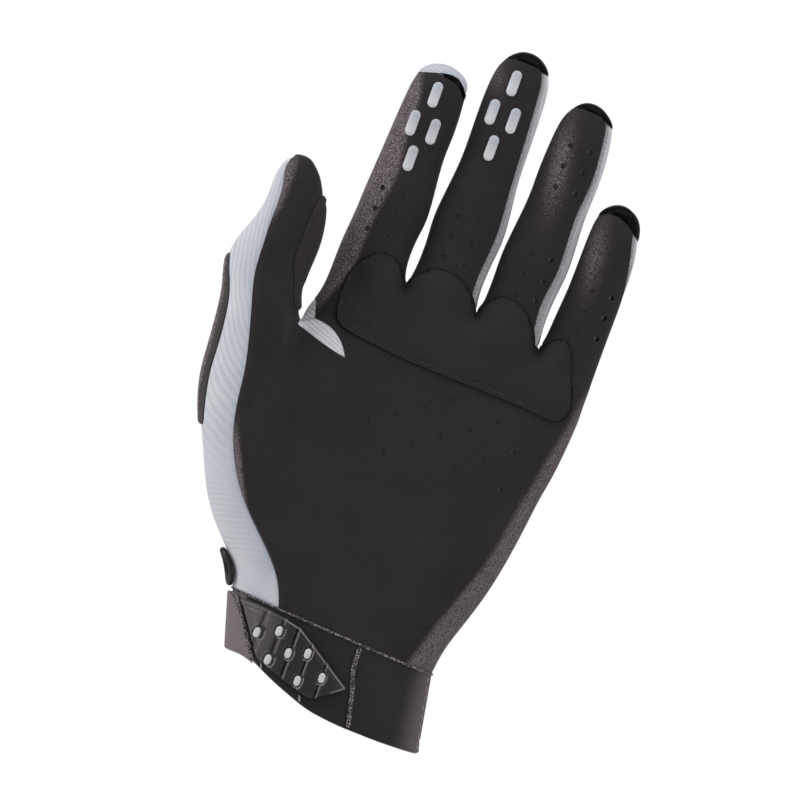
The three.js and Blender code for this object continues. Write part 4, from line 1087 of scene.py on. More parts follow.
def napped(name, ground, sheen, grain, rough, between):
    """A napped cloth: matt ground, with light specks of painted sheen where the painted light
    attribute is above zero and painted shade where it is below. The real fibres are too fine to show, so a
    grain is a tuft of them."""
    nap = tuple(colours().nap)
    material, tree, shader = new_material(
        name, ground, Roughness=rough, Sheen_Weight=sheen, Sheen_Roughness=0.3,
        Sheen_Tint=linear("#ada2a5"), Specular_IOR_Level=0.12,
    )
    spot = node(tree, "ShaderNodeTexCoord").outputs["Object"]
    cloud = node(tree, "ShaderNodeTexNoise", {
        "Vector": spot, "Scale": cells(HANDLING), "Detail": 3.0,
    })
    fine = node(tree, "ShaderNodeTexNoise", {
        "Vector": spot, "Scale": cells(grain), "Detail": 3.0,
    })
    tone = node(tree, "ShaderNodeMapRange", {
        "Value": cloud.outputs["Fac"], "From Min": 0.3, "From Max": 0.7, "To Min": 0.9, "To Max": 1.1,
    })
    pepper = node(tree, "ShaderNodeMapRange", {
        "Value": fine.outputs["Fac"], "From Min": 0.3, "From Max": 0.7, "To Min": 0.82, "To Max": 1.2,
    })
    # Painted light: painted sheen where it is above zero, painted shade where it is below
    painted_share = node(tree, "ShaderNodeAttribute", attribute_name="nap")
    wear_and_shade = node(tree, "ShaderNodeMapRange", {
        "Value": painted_share.outputs["Fac"], "From Min": -1.0, "From Max": 0.0, "To Min": 0.12, "To Max": 1.0,
    })
    clouds = node(tree, "ShaderNodeMath", {
        0: tone.outputs[0], 1: wear_and_shade.outputs[0],
    }, operation="MULTIPLY")
    level = node(tree, "ShaderNodeMath", {
        0: clouds.outputs[0], 1: pepper.outputs[0],
    }, operation="MULTIPLY")
    scaled = node(tree, "ShaderNodeVectorMath", {
        0: ground[:3], "Scale": level.outputs[0],
    }, operation="SCALE")
    grains = node(tree, "ShaderNodeMapRange", {
        "Value": fine.outputs["Fac"], "From Min": 0.43, "From Max": 0.61, "To Min": between, "To Max": 1.0,
    })
    # Light specks of painted sheen where the painted light share is above zero
    speck = node(tree, "ShaderNodeMath", {
        0: grains.outputs[0], 1: painted_share.outputs["Fac"],
    }, operation="MULTIPLY", use_clamp=True)
    mixed = node(tree, "ShaderNodeMix", {
        0: speck.outputs[0], 6: scaled.outputs[0], 7: nap,
    }, data_type="RGBA")
    tree.links.new(mixed.outputs[2], shader.inputs["Base Color"])
    bump = node(tree, "ShaderNodeBump", {
        "Height": fine.outputs["Fac"], "Strength": 0.5, "Distance": NAP_DEPTH * MM,
    })
    tree.links.new(bump.outputs[0], shader.inputs["Normal"])
    return material


@functools.lru_cache(maxsize=None)
def suede():
    """Synthetic microsuede, brushed: matt black, with a painted brownish sheen on the hand's sides."""
    return napped("Microsuede", tuple(colours().suede), 0.3, SUEDE_TUFT, 0.88, 0.12)


@functools.lru_cache(maxsize=None)
def backing():
    """Knitted backing cloth, seen in the shade of the perforations: matt grey."""
    material, _, _ = new_material("Backing Cloth", linear("#858184"), Roughness=0.9)
    return material


@functools.lru_cache(maxsize=None)
def ribbed_cloth(is_straight=False):
    """Stretch polyester, warp knitted in ribs: matt light grey, with the ribs in arcs that fan
    out from the thumb's inner side and finer ones near the wrist, or straight ones."""
    light = tuple(colours().cloth)
    dark = tuple(colours().cloth_shade)
    material, tree, shader = new_material(
        "Ribbed Polyester" + " Straight" * is_straight, light, Roughness=0.8,
        Sheen_Weight=0.15, Sheen_Roughness=0.5, Specular_IOR_Level=0.25,
    )
    spot = node(tree, "ShaderNodeTexCoord").outputs["Object"]
    parts = node(tree, "ShaderNodeSeparateXYZ", {0: spot})
    if is_straight:
        reach = node(tree, "ShaderNodeVectorMath", {
            0: spot, 1: ACROSS_STRAIGHT_RIBS,
        }, operation="DOT_PRODUCT")
    else:
        flat = node(tree, "ShaderNodeVectorMath", {
            0: spot, 1: ARC_FLATTENING,
        }, operation="MULTIPLY")
        centre = [c * f * MM for c, f in zip(ARC_CENTRE, ARC_FLATTENING)]
        reach = node(tree, "ShaderNodeVectorMath", {
            0: flat.outputs[0], 1: centre,
        }, operation="DISTANCE")
    drift = node(tree, "ShaderNodeTexNoise", {
        "Vector": spot, "Scale": cells(RIB_DRIFT), "Detail": 1.0,
    })
    shifted = node(tree, "ShaderNodeMath", {
        0: drift.outputs["Fac"], 1: RIB_WANDER * MM,
    }, operation="MULTIPLY")
    wandering = node(tree, "ShaderNodeMath", {
        0: reach.outputs["Value"], 1: shifted.outputs[0],
    }, operation="ADD")
    pitch = bpy.context.scene.glove_sizes.rib_pitch
    turns = node(tree, "ShaderNodeMath", {
        0: wandering.outputs[0], 1: 2 * math.pi / pitch,
    }, operation="MULTIPLY")
    wave = node(tree, "ShaderNodeMath", {0: turns.outputs[0]}, operation="SINE")
    ridge = node(tree, "ShaderNodeMapRange", {
        "Value": wave.outputs[0], "From Min": -1.0, "From Max": 0.4, "To Min": 0.0, "To Max": 1.0,
    }, interpolation_type="SMOOTHSTEP")
    fade = node(tree, "ShaderNodeMapRange", {
        "Value": parts.outputs[2], "From Min": 0.052, "From Max": 0.085, "To Min": 0.15, "To Max": 1.0,
    }, interpolation_type="SMOOTHSTEP")
    ribs = node(tree, "ShaderNodeMath", {
        0: ridge.outputs[0], 1: fade.outputs[0],
    }, operation="MULTIPLY")
    tilt = node(tree, "ShaderNodeVectorMath", {
        0: spot, 1: ACROSS_LOW_RIBS,
    }, operation="DOT_PRODUCT")
    plain_end = node(tree, "ShaderNodeMapRange", {
        "Value": parts.outputs[2], "From Min": 0.033, "From Max": 0.04, "To Min": 0.0, "To Max": 1.0,
    })
    turns_low = node(tree, "ShaderNodeMath", {
        0: tilt.outputs["Value"], 1: 2 * math.pi / (LOW_RIB * MM),
    }, operation="MULTIPLY")
    wave_low = node(tree, "ShaderNodeMath", {0: turns_low.outputs[0]}, operation="SINE")
    band = node(tree, "ShaderNodeMapRange", {
        "Value": parts.outputs[2], "From Min": 0.062, "From Max": 0.05, "To Min": 0.0, "To Max": 0.3,
    }, interpolation_type="SMOOTHSTEP")
    banded = node(tree, "ShaderNodeMath", {
        0: wave_low.outputs[0], 1: band.outputs[0],
    }, operation="MULTIPLY")
    low = node(tree, "ShaderNodeMath", {
        0: banded.outputs[0], 1: plain_end.outputs[0],
    }, operation="MULTIPLY")
    relief = node(tree, "ShaderNodeMath", {
        0: ribs.outputs[0], 1: low.outputs[0],
    }, operation="ADD")
    weave = node(tree, "ShaderNodeTexNoise", {
        "Vector": spot, "Scale": cells(KNIT_LOOP), "Detail": 2.0,
    })
    grain = node(tree, "ShaderNodeMath", {
        0: weave.outputs["Fac"], 1: 0.35,
    }, operation="MULTIPLY")
    height = node(tree, "ShaderNodeMath", {
        0: relief.outputs[0], 1: grain.outputs[0],
    }, operation="ADD")
    cloud = node(tree, "ShaderNodeTexNoise", {
        "Vector": spot, "Scale": cells(CLOTH_SHADING), "Detail": 2.0,
    })
    patchy = node(tree, "ShaderNodeMapRange", {
        "Value": cloud.outputs["Fac"], "From Min": 0.35, "From Max": 0.65, "To Min": -0.2, "To Max": 0.2,
    })
    # Painted light on the ribs' ridges and painted shade in their grooves, with random patches
    lit = node(tree, "ShaderNodeMapRange", {
        "Value": relief.outputs[0], "From Min": 0.0, "From Max": 1.0, "To Min": 0.4, "To Max": 0.75,
    })
    share = node(tree, "ShaderNodeMath", {
        0: lit.outputs[0], 1: patchy.outputs[0],
    }, operation="ADD", use_clamp=True)
    ribbed = node(tree, "ShaderNodeMix", {
        0: share.outputs[0], 6: dark, 7: light,
    }, data_type="RGBA")
    # Painted shade where the shade attribute is set
    mixed = node(tree, "ShaderNodeMix", {
        0: node(tree, "ShaderNodeAttribute", attribute_name="shade").outputs["Fac"],
        6: ribbed.outputs[2], 7: linear("#969dab"),
    }, data_type="RGBA")
    # Speckled painted shade where the painted light attribute is set
    speckle_noise = node(tree, "ShaderNodeTexNoise", {
        "Vector": spot, "Scale": cells(SHADE_SPECKLE), "Detail": 2.0,
    })
    speckle = node(tree, "ShaderNodeMapRange", {
        "Value": speckle_noise.outputs["Fac"], "From Min": 0.4, "From Max": 0.6, "To Min": 0.45, "To Max": 1.0,
    })
    painted_shade = node(tree, "ShaderNodeMath", {
        0: speckle.outputs[0], 1: node(tree, "ShaderNodeAttribute", attribute_name="nap").outputs["Fac"],
    }, operation="MULTIPLY")
    wear_and_shade = node(tree, "ShaderNodeMix", {
        0: painted_shade.outputs[0], 6: mixed.outputs[2], 7: linear("#5d5557"),
    }, data_type="RGBA")
    tree.links.new(wear_and_shade.outputs[2], shader.inputs["Base Color"])
    bump = node(tree, "ShaderNodeBump", {
        "Height": height.outputs[0], "Strength": 0.4, "Distance": RIB_DEPTH * MM,
    })
    tree.links.new(bump.outputs[0], shader.inputs["Normal"])
    return material


@functools.lru_cache(maxsize=None)
def silicone(name, which):
    """Silicone printed and cured: smooth, soft gloss, light grey, paler below by painted light, with a
    faint mottle.
    """
    colour = tuple(getattr(colours(), which))
    material, tree, shader = new_material(name, colour, Roughness=0.38, IOR=1.43)
    spot = node(tree, "ShaderNodeTexCoord").outputs["Object"]
    mottle = node(tree, "ShaderNodeTexNoise", {
        "Vector": spot, "Scale": cells(MOTTLE), "Detail": 2.0,
    })
    share = node(tree, "ShaderNodeMapRange", {
        "Value": mottle.outputs["Fac"], "From Min": 0.3, "From Max": 0.7, "To Min": 0.0, "To Max": 0.16,
    })
    mixed = node(tree, "ShaderNodeMix", {
        0: share.outputs[0], 6: colour, 7: linear("#9ba1ab"),
    }, data_type="RGBA")
    # Painted light, paler towards the bottom of a pad
    lit_below = node(tree, "ShaderNodeMix", {
        0: node(tree, "ShaderNodeAttribute", attribute_name="nap").outputs["Fac"],
        6: mixed.outputs[2], 7: linear("#cbccd0"),
    }, data_type="RGBA")
    tree.links.new(lit_below.outputs[2], shader.inputs["Base Color"])
    bump = node(tree, "ShaderNodeBump", {
        "Height": mottle.outputs["Fac"], "Strength": 0.12, "Distance": MOTTLE_DEPTH * MM,
    })
    tree.links.new(bump.outputs[0], shader.inputs["Normal"])
    return material


@functools.lru_cache(maxsize=None)
def rubber(name, which, roughness, shine=0.3):
    """Rubber, moulded: glossy where it is polished, with the mould's faint grain elsewhere."""
    colour = tuple(getattr(colours(), which))
    material, tree, shader = new_material(
        name, colour, Roughness=roughness, Specular_IOR_Level=shine,
    )
    spot = node(tree, "ShaderNodeTexCoord").outputs["Object"]
    # Painted highlights, pale where the painted light attribute is set
    painted_highlight = node(tree, "ShaderNodeAttribute", attribute_name="nap")
    mixed = node(tree, "ShaderNodeMix", {
        0: painted_highlight.outputs["Fac"], 6: colour, 7: linear("#a39c9e"),
    }, data_type="RGBA")
    tree.links.new(mixed.outputs[2], shader.inputs["Base Color"])
    grain = node(tree, "ShaderNodeTexNoise", {
        "Vector": spot, "Scale": cells(MOULD_GRAIN), "Detail": 3.0,
    })
    wear_and_shade = node(tree, "ShaderNodeTexNoise", {
        "Vector": spot, "Scale": cells(POLISH), "Detail": 2.0,
    })
    gloss = node(tree, "ShaderNodeMapRange", {
        "Value": wear_and_shade.outputs["Fac"], "From Min": 0.3, "From Max": 0.7,
        "To Min": roughness * 0.8, "To Max": roughness * 1.3,
    })
    tree.links.new(gloss.outputs[0], shader.inputs["Roughness"])
    bump = node(tree, "ShaderNodeBump", {
        "Height": grain.outputs["Fac"], "Strength": 0.15 + 0.3 * roughness,
        "Distance": MOULD_GRAIN_DEPTH * MM,
    })
    tree.links.new(bump.outputs[0], shader.inputs["Normal"])
    return material


@functools.lru_cache(maxsize=None)
def neoprene():
    """Neoprene faced with nylon jersey: matt black, with a soft brownish painted sheen at the sides."""
    return napped("Neoprene Jersey", tuple(colours().neoprene), 0.35, JERSEY_LOOP, 0.62, 0.6)


@functools.lru_cache(maxsize=None)
def yarn(name, code, fleck):
    """Polyester yarn, twisted or overlocked: dark, with light flecks where its loops stand up."""
    colour = linear(code)
    material, tree, shader = new_material(
        name, colour, Roughness=0.75, Sheen_Weight=0.22, Sheen_Roughness=0.4,
        Sheen_Tint=linear("#cbbcbe"),
    )
    spot = node(tree, "ShaderNodeTexCoord").outputs["Object"]
    loops = node(tree, "ShaderNodeTexNoise", {
        "Vector": spot, "Scale": cells(YARN_LOOP), "Detail": 2.0,
    })
    share = node(tree, "ShaderNodeMapRange", {
        "Value": loops.outputs["Fac"], "From Min": 0.49, "From Max": 0.62, "To Min": 0.0, "To Max": 0.8,
    })
    mixed = node(tree, "ShaderNodeMix", {
        0: share.outputs[0], 6: colour, 7: linear(fleck),
    }, data_type="RGBA")
    tree.links.new(mixed.outputs[2], shader.inputs["Base Color"])
    bump = node(tree, "ShaderNodeBump", {
        "Height": loops.outputs["Fac"], "Strength": 0.8, "Distance": YARN_DEPTH * MM,
    })
    tree.links.new(bump.outputs[0], shader.inputs["Normal"])
    return material


# Pieces of the hand

GUSSET_LENGTH = 18
HOLE_COLUMN, HOLE_PITCH = 7.9, 12.6
FINGER_HOLE_COLUMN, FINGER_HOLE_PITCH = 6.5, 7

# Perforations of the palm: column, share up the palm of the lowest, count
PALM_HOLES = (
    (0, 0.594, 1), (1, 0.531, 2), (2, 0.576, 2), (3, 0.513, 3), (4, 0.56, 2), (5, 0.496, 3),
    (6, 0.545, 2),
)

# Perforations of the fingers: digit, shares across and along of each grid's middle
FINGER_HOLES = (
    (INDEX, -0.065, 0.275), (MIDDLE, -0.016, 0.231), (RING, 0.087, 0.717), (RING, 0.09, 0.24),
    (LITTLE, 0.147, 0.31),
)

# Grip pads: digit, shares across and along
GRIPS = (
    (INDEX, 0.04, 0.857), (INDEX, -0.121, 0.701), (INDEX, 0.185, 0.694), (INDEX, 0.017, 0.544),
    (MIDDLE, -0.07, 0.871), (MIDDLE, -0.224, 0.739), (MIDDLE, 0.102, 0.733), (MIDDLE, -0.061, 0.606),
)
GRIP_WIDTH, GRIP_LENGTH = 3.3, 8.6

# The front edge of each fingertip's cap, in X and Z
TIP_EDGES = {
    INDEX: ((-44, 205), (-38, 205.5), (-35, 204.2), (-32, 203), (-29.7, 202.5), (-27, 201.4),
            (-25.4, 200.2), (-24.2, 198.5), (-22.5, 196)),
    MIDDLE: ((-17, 214), (-15, 215.4), (-13, 216), (-10.5, 216.2), (-8, 216.1), (-6, 215.8),
             (-4, 215.3), (-2.2, 214.8), (-0.5, 214.6), (2, 213.5)),
    RING: ((7.5, 206), (9.5, 207.5), (12, 208.4), (14, 208.6), (16, 208.5), (18, 208.2),
           (20, 207.7), (22.5, 206.5), (24, 205.8), (26, 205)),
    LITTLE: ((28, 177), (30, 178.2), (31, 178.9), (33, 179.7), (36, 179.6), (39.1, 178.5),
             (41.6, 176.7), (43.3, 175.4), (46, 173.5)),
}

# The lower edge of the light cover on the index fingertip, in X and Z
INDEX_COVER = ((-46, 199.5), (-42, 201.2), (-39.5, 202), (-36, 203), (-33, 203.9), (-30, 204.3),
               (-27.8, 203.9), (-26, 202.6), (-24, 200.2), (-20, 197))


# A cap's back: its start and end as shares of the finger's depth behind the fingertip's
# middle, its distances below the tip there, and the width of its thinned edges
CAP_START, CAP_END = 0.15, 0.6
CAP_HIGH, CAP_LOW = 3.5, 12
CAP_FRONT_EDGE, CAP_BACK_EDGE = 2.6, 1.8

# The leaf of the thumb's gusset is drawn this much smaller than the gap cut for it
LEAF_GAP = 0.03

# The fold across the gusset, shown only as a line of painted shade: in X and Z, its direction, its width
# and how dark it is
FOLD_SPOT, FOLD_ALONG = (-49.5, 113), (0.857, 0.515)
FOLD_WIDTH, FOLD_SHADE = 0.5, 0.7

# Depth and width of the gusset's turned-in edge
LEAF_TUCK, LEAF_TUCK_WIDTH = 0.2, 0.6

# The backing behind the perforations: how far round each it reaches, and its two faces
# below the inner side of the suede
BACKING_REACH, BACKING_TOP, BACKING_BOTTOM = 2.2, 0.1, 0.35

# The drills' ends in Y
DRILL_ENDS = (-45, -3)


def digit_spot(number, across, along):
    """X and Z of a spot on a digit, from shares across its width and along its length."""
    digit = DIGITS[number]
    return digit["centre"] + digit["width"] * across, digit["foot"] + digit["length"] * along


def stadium(x, z, width, length, steps=16):
    """An outline with straight sides and round ends."""
    radius = width / 2
    half = length / 2 - radius
    top = [(x + radius * math.cos(a), z + half + radius * math.sin(a))
           for a in spread(0, math.pi, steps)]
    bottom = [(x + radius * math.cos(a), z - half + radius * math.sin(a))
              for a in spread(math.pi, 2 * math.pi, steps)]
    return top + bottom


def gusset_outline(edge):
    """The leaf in the thumb's crotch, moved outwards by an edge."""
    x, z = CROTCHES[0][0], palm_z(CROTCHES[0][1])

    def at(across, up, out_x, out_z):
        return x + across * GUSSET_LENGTH + out_x * edge, z + up * GUSSET_LENGTH + out_z * edge

    def quadratic(start, middle, end):
        return [tuple((1 - t) ** 2 * s + 2 * t * (1 - t) * m + t * t * e
                      for s, m, e in zip(start, middle, end)) for t in spread(0, 1, 12)]

    tip = at(1, -0.38, 1, -1)
    bend = at(0.25, 0.1, 1, 1)
    lower = quadratic(at(0, -0.1, -1, -1), at(0.62, -0.33, 0, -1), tip)
    upper = quadratic(tip, at(0.76, 0.1, 1, 1), bend)
    return lower + upper[1:] + [at(0.16, 0.42, 1, 1), at(0, 0.42, -1, 1)]


@functools.lru_cache(maxsize=1)
def hole_spots():
    """X and Z of each perforation."""
    spots = [(palm_x(0.305) + column * HOLE_COLUMN, palm_z(start) + i * HOLE_PITCH)
             for column, start, count in PALM_HOLES for i in range(count)]
    for number, across, along in FINGER_HOLES:
        x, z = digit_spot(number, across, along)
        spots += [(x + (i - 0.5) * FINGER_HOLE_COLUMN, z + j * FINGER_HOLE_PITCH)
                  for i in (0, 1) for j in (-1, 0, 1)]
    return spots


def drills(width, sides=14):
    """The perforations' drills as one mesh of closed prisms."""
    points = []
    faces = []
    for x, z in hole_spots():
        base = len(points)
        for y in DRILL_ENDS:
            points += [(x + width / 2 * math.cos(2 * math.pi * i / sides), y,
                        z + width / 2 * math.sin(2 * math.pi * i / sides)) for i in range(sides)]
        faces.append(list(range(base, base + sides)))
        faces.append(list(range(base + sides, base + 2 * sides))[::-1])
        faces += [[base + i, base + i + sides, base + (i + 1) % sides + sides, base + (i + 1) % sides]
                  for i in range(sides)]
    return mesh_of("Drills", points, faces, False)


class SceneOperator:
    bl_options = {"REGISTER", "UNDO"}


class OBJECT_OT_glove_palm(SceneOperator, bpy.types.Operator):
    """Suede palm, with turned-in seams and perforations"""
    bl_idname = "object.glove_palm"
    bl_label = "Palm"

    def execute(self, context):
        sizes = context.scene.glove_sizes
        skin = hand()
        inner = -sizes.cloth / MM
        obj = layer("Palm_Panel", skin, skin.on_palm, inner, palm_relief(skin))
        gap = prism(gusset_outline(LEAF_GAP), -FAR, FAR)
        cut(obj, gap)
        holes = drills(sizes.hole / MM)
        cut(obj, holes)
        remove(gap, holes)
        crisp(obj, 50)
        # Painted sheen on the suede's sides and painted shade in the crotches
        paint(obj, suede_painted_light(spots_of(obj)))
        finished(obj, suede(), ["palm_panel"])

        centres = skin.points[skin.faces].mean(1)
        near = np.full(len(centres), FAR)
        for x, z in hole_spots():
            near = np.minimum(near, np.hypot(centres[:, 0] - x, centres[:, 2] - z))
        faces_front = skin.normals[skin.faces].mean(1)[:, 1] < -0.2
        behind = skin.on_palm & (near < BACKING_REACH) & faces_front
        obj = layer("Palm_Backing", skin, behind, inner - BACKING_BOTTOM, inner - BACKING_TOP)
        finished(obj, backing())
        return {"FINISHED"}


class OBJECT_OT_glove_gusset(SceneOperator, bpy.types.Operator):
    """Ribbed gusset in the thumb's crotch"""
    bl_idname = "object.glove_gusset"
    bl_label = "Thumb Gusset"

    def execute(self, context):
        sizes = context.scene.glove_sizes
        skin = hand()
        spots = skin.points[:, [0, 2]]
        inside = depth_inside(spots, gusset_outline(-0.15))
        high = -LEAF_TUCK * bell(np.maximum(inside, 0), LEAF_TUCK_WIDTH)
        obj = layer("Thumb_Gusset", skin, skin.on_palm, -sizes.cloth / MM, high)
        leaf = prism(gusset_outline(-LEAF_GAP), -FAR, FAR)
        cut(obj, leaf, "INTERSECT")
        remove(leaf)
        crisp(obj, 50)
        spots = spots_of(obj)
        across, along = FOLD_ALONG
        off = (spots[:, 2] - FOLD_SPOT[1]) * across - (spots[:, 0] - FOLD_SPOT[0]) * along
        # A line of painted shade along the fold
        paint(obj, FOLD_SHADE * bell(off, FOLD_WIDTH))
        finished(obj, ribbed_cloth(True), ["thumb_gusset"])
        return {"FINISHED"}


class OBJECT_OT_glove_back(SceneOperator, bpy.types.Operator):
    """Ribbed back of the hand, of the fingers and of the thumb"""
    bl_idname = "object.glove_back"
    bl_label = "Back"

    def execute(self, context):
        sizes = context.scene.glove_sizes
        skin = hand()
        high = -BACK_TUCK_DEPTH * bell(skin.to_seam, BACK_TUCK_WIDTH)
        obj = layer("Back_Panel", skin, ~skin.on_palm, -sizes.cloth / MM, high)
        crisp(obj, 50)
        # Speckled painted shade beside the fingers' seams, and painted shade along the thumb's seam
        paint(obj, finger_seam_shade(spots_of(obj)))
        paint(obj, seam_shade(spots_of(obj)), "shade")
        finished(obj, ribbed_cloth(), ["back_panel"])
        return {"FINISHED"}


def overlay_outline():
    """The palm overlay: round corners, and a scallop up each finger's base."""
    start = (palm_x(0.06), palm_z(0.91))
    line = bezier(
        start,
        ((palm_x(0.065), palm_z(0.8)), (palm_x(0.1), palm_z(0.82)), (palm_x(0.3), palm_z(0.797))),
        ((palm_x(0.5), palm_z(0.784)), (palm_x(0.75), palm_z(0.787)), (palm_x(0.88), palm_z(0.773))),
        ((palm_x(0.98), palm_z(0.765)), (palm_x(0.98), palm_z(0.83)), (palm_x(0.93), palm_z(0.905))),
        ((palm_x(0.89), palm_z(1.02)), (palm_x(0.85), palm_z(1.04)),
         (CROTCHES[3][0], palm_z(CROTCHES[3][1] - 0.005))),
    )
    line.append((CROTCHES[3][0] - 1.7, palm_z(CROTCHES[3][1])))
    for x, up in (CROTCHES[2], CROTCHES[1], (palm_x(0.06), 0.97)):
        last = line[-1]
        end = (x, palm_z(up - 0.018))
        lift = 0.125 * PALM_LENGTH
        line = bezier_on(line, (lerp(last[0], end[0], 0.2), last[1] + lift),
                         (lerp(last[0], end[0], 0.9), end[1] + lift), end)
    return line


def bezier_on(line, a, b, end):
    return line[:-1] + bezier(line[-1], (a, b, end))


def stitches(name, surface, path, sizes, material, height):
    """A row of stitches along a path in X and Z that lies on a surface from in front. Each is
    an arched length of thread with blunt ends that dip into the cloth."""
    length = sizes.stitch / MM
    step = length + sizes.stitch_gap / MM
    path = evenly(path, 0.5, False)
    along = run_along(path)
    count = max(int(along[-1] // step), 1)
    starts = (np.arange(count) + 0.5) * along[-1] / count

    ends = []
    for shift in (-length / 2, length / 2):
        at = starts + shift
        flat = np.stack([np.interp(at, along, path[:, k]) for k in (0, 1)], 1)
        ends.append(surface.land(in_front(flat), INWARD))
    shape, loops = pattern_of(
        bpy.ops.mesh.primitive_uv_sphere_add, segments=10, ring_count=6, radius=MM,
    )
    x, y, z = (shape[:, k:k + 1] for k in range(3))
    arch = np.sign(z) * np.abs(z) ** 0.7
    points = []
    faces = []
    radius = sizes.thread / MM / 2
    for (a, na), (b, nb) in zip(zip(*ends[0]), zip(*ends[1])):
        axis = b - a
        half = np.linalg.norm(axis) / 2
        axis = axis / (2 * half)
        out = (na + nb) / np.linalg.norm(na + nb)
        side = np.cross(out, axis)
        side /= np.linalg.norm(side)
        out = np.cross(axis, side)
        middle = (a + b) / 2 + out * height
        lift = radius * (y - 0.35 * arch ** 2)
        base = len(points)
        points += (middle + axis * arch * half + side * x * radius + out * lift).tolist()
        faces += [[base + p for p in loop] for loop in loops]
    return finished(mesh_of(name, points, faces), material)


# A sewn overlay: how high it starts, the width of its rounded edge, and its row of stitching
# as depth, place in from the edge and width. The palm's is padded further in
LAYER_FOOT = 0.25
LAYER_EDGE, LAYER_ROW = 1.1, (0.3, 1.8, 0.45)
PALM_LAYER_FOOT = 0.2
PALM_LAYER_EDGE, PALM_LAYER_ROW = 0.9, (0.25, 1.9, 0.5)
PAD_HEIGHT, PAD_REACH = 0.5, 7

# How dark the painted shade on an overlay's very edge is, and how far in it reaches
EDGE_SHADE, EDGE_WIDTH = 0.85, 0.5


def overlay_height(depth, thick, foot=LAYER_FOOT, edge=LAYER_EDGE, row=LAYER_ROW):
    """Height of a sewn overlay at a distance in from its outline."""
    row_depth, row_place, row_width = row
    raised = foot + thick * shoulder(np.maximum(depth, 0), edge)
    return raised - row_depth * bell(depth - row_place, row_width)


class OBJECT_OT_glove_knuckles(SceneOperator, bpy.types.Operator):
    """Padded suede overlay across the finger bases, with its stitched lower edge"""
    bl_idname = "object.glove_knuckles"
    bl_label = "Knuckle Overlay"

    def execute(self, context):
        sizes = context.scene.glove_sizes
        skin = hand()
        outline = evenly(overlay_outline(), 0.7)
        thick = sizes.overlay / MM

        def height(flat, depth):
            sewn = overlay_height(depth, thick, PALM_LAYER_FOOT, PALM_LAYER_EDGE, PALM_LAYER_ROW)
            return sewn + PAD_HEIGHT * smooth(depth / PAD_REACH)

        obj = patch("Palm_Overlay", skin, outline, height, 0.8)
        spots = spots_of(obj)
        edge = depth_inside(spots[:, [0, 2]], outline)
        # Painted shade along the overlay's very edge, painted sheen and crotch shade further in
        paint(obj, np.where(edge < EDGE_WIDTH, -EDGE_SHADE, suede_painted_light(spots)))
        finished(obj, suede(), ["palm_overlay"])
        seam = bezier(
            (palm_x(0.075), palm_z(0.9)),
            ((palm_x(0.08), palm_z(0.83)), (palm_x(0.12), palm_z(0.835)),
             (palm_x(0.3), palm_z(0.812))),
            ((palm_x(0.5), palm_z(0.8)), (palm_x(0.75), palm_z(0.803)),
             (palm_x(0.87), palm_z(0.79))),
        )
        black = yarn("Black Thread", "#1c1a1b", "#2e2b2c")
        stitches("Overlay_Stitches", skin, seam, sizes, black, thick + PALM_LAYER_FOOT)
        return {"FINISHED"}


# The outline of the thumb's inner overlay as shares across and along the thumb, and that of
# its back overlay as shares of its depth back and of its length up from the crotch
THUMB_INNER = ((0.42, 0.05), (0.35, 0.12), (0.31, 0.2), (0.2, 0.32), (0.2, 0.58), (0.21, 0.72),
               (0.27, 0.816), (0.53, 0.816), (0.53, 0.05))
THUMB_BACK = ((0.15, -0.92), (-0.05, -0.65), (-0.14, -0.3), (-0.14, 0.02), (0, 0.25), (0.3, 0.24),
              (0.6, 0.02), (0.65, -0.3), (0.5, -0.65))

# Radii of their corners, how far the dark strip of painted shade shows before the back overlay
# and how thick it is, and how much painted sheen each gets
INNER_CORNER, BACK_CORNER_RADIUS = 4, 12
SHADOW_STRIP_REACH, SHADOW_STRIP_THICK = 4, 0.32
INNER_SHEEN = 0.05
BACK_SHEEN, BACK_SHEEN_RISE = 0.2, 0.75
SHARP_EDGE = 50


def trimmed(name, chosen, low, high, cutter, degrees=SHARP_EDGE):
    """A layer of the hand's skin, cut down to a prism."""
    obj = layer(name, hand(), chosen, low, high)
    cut(obj, cutter, "INTERSECT")
    remove(cutter)
    return crisp(obj, degrees)


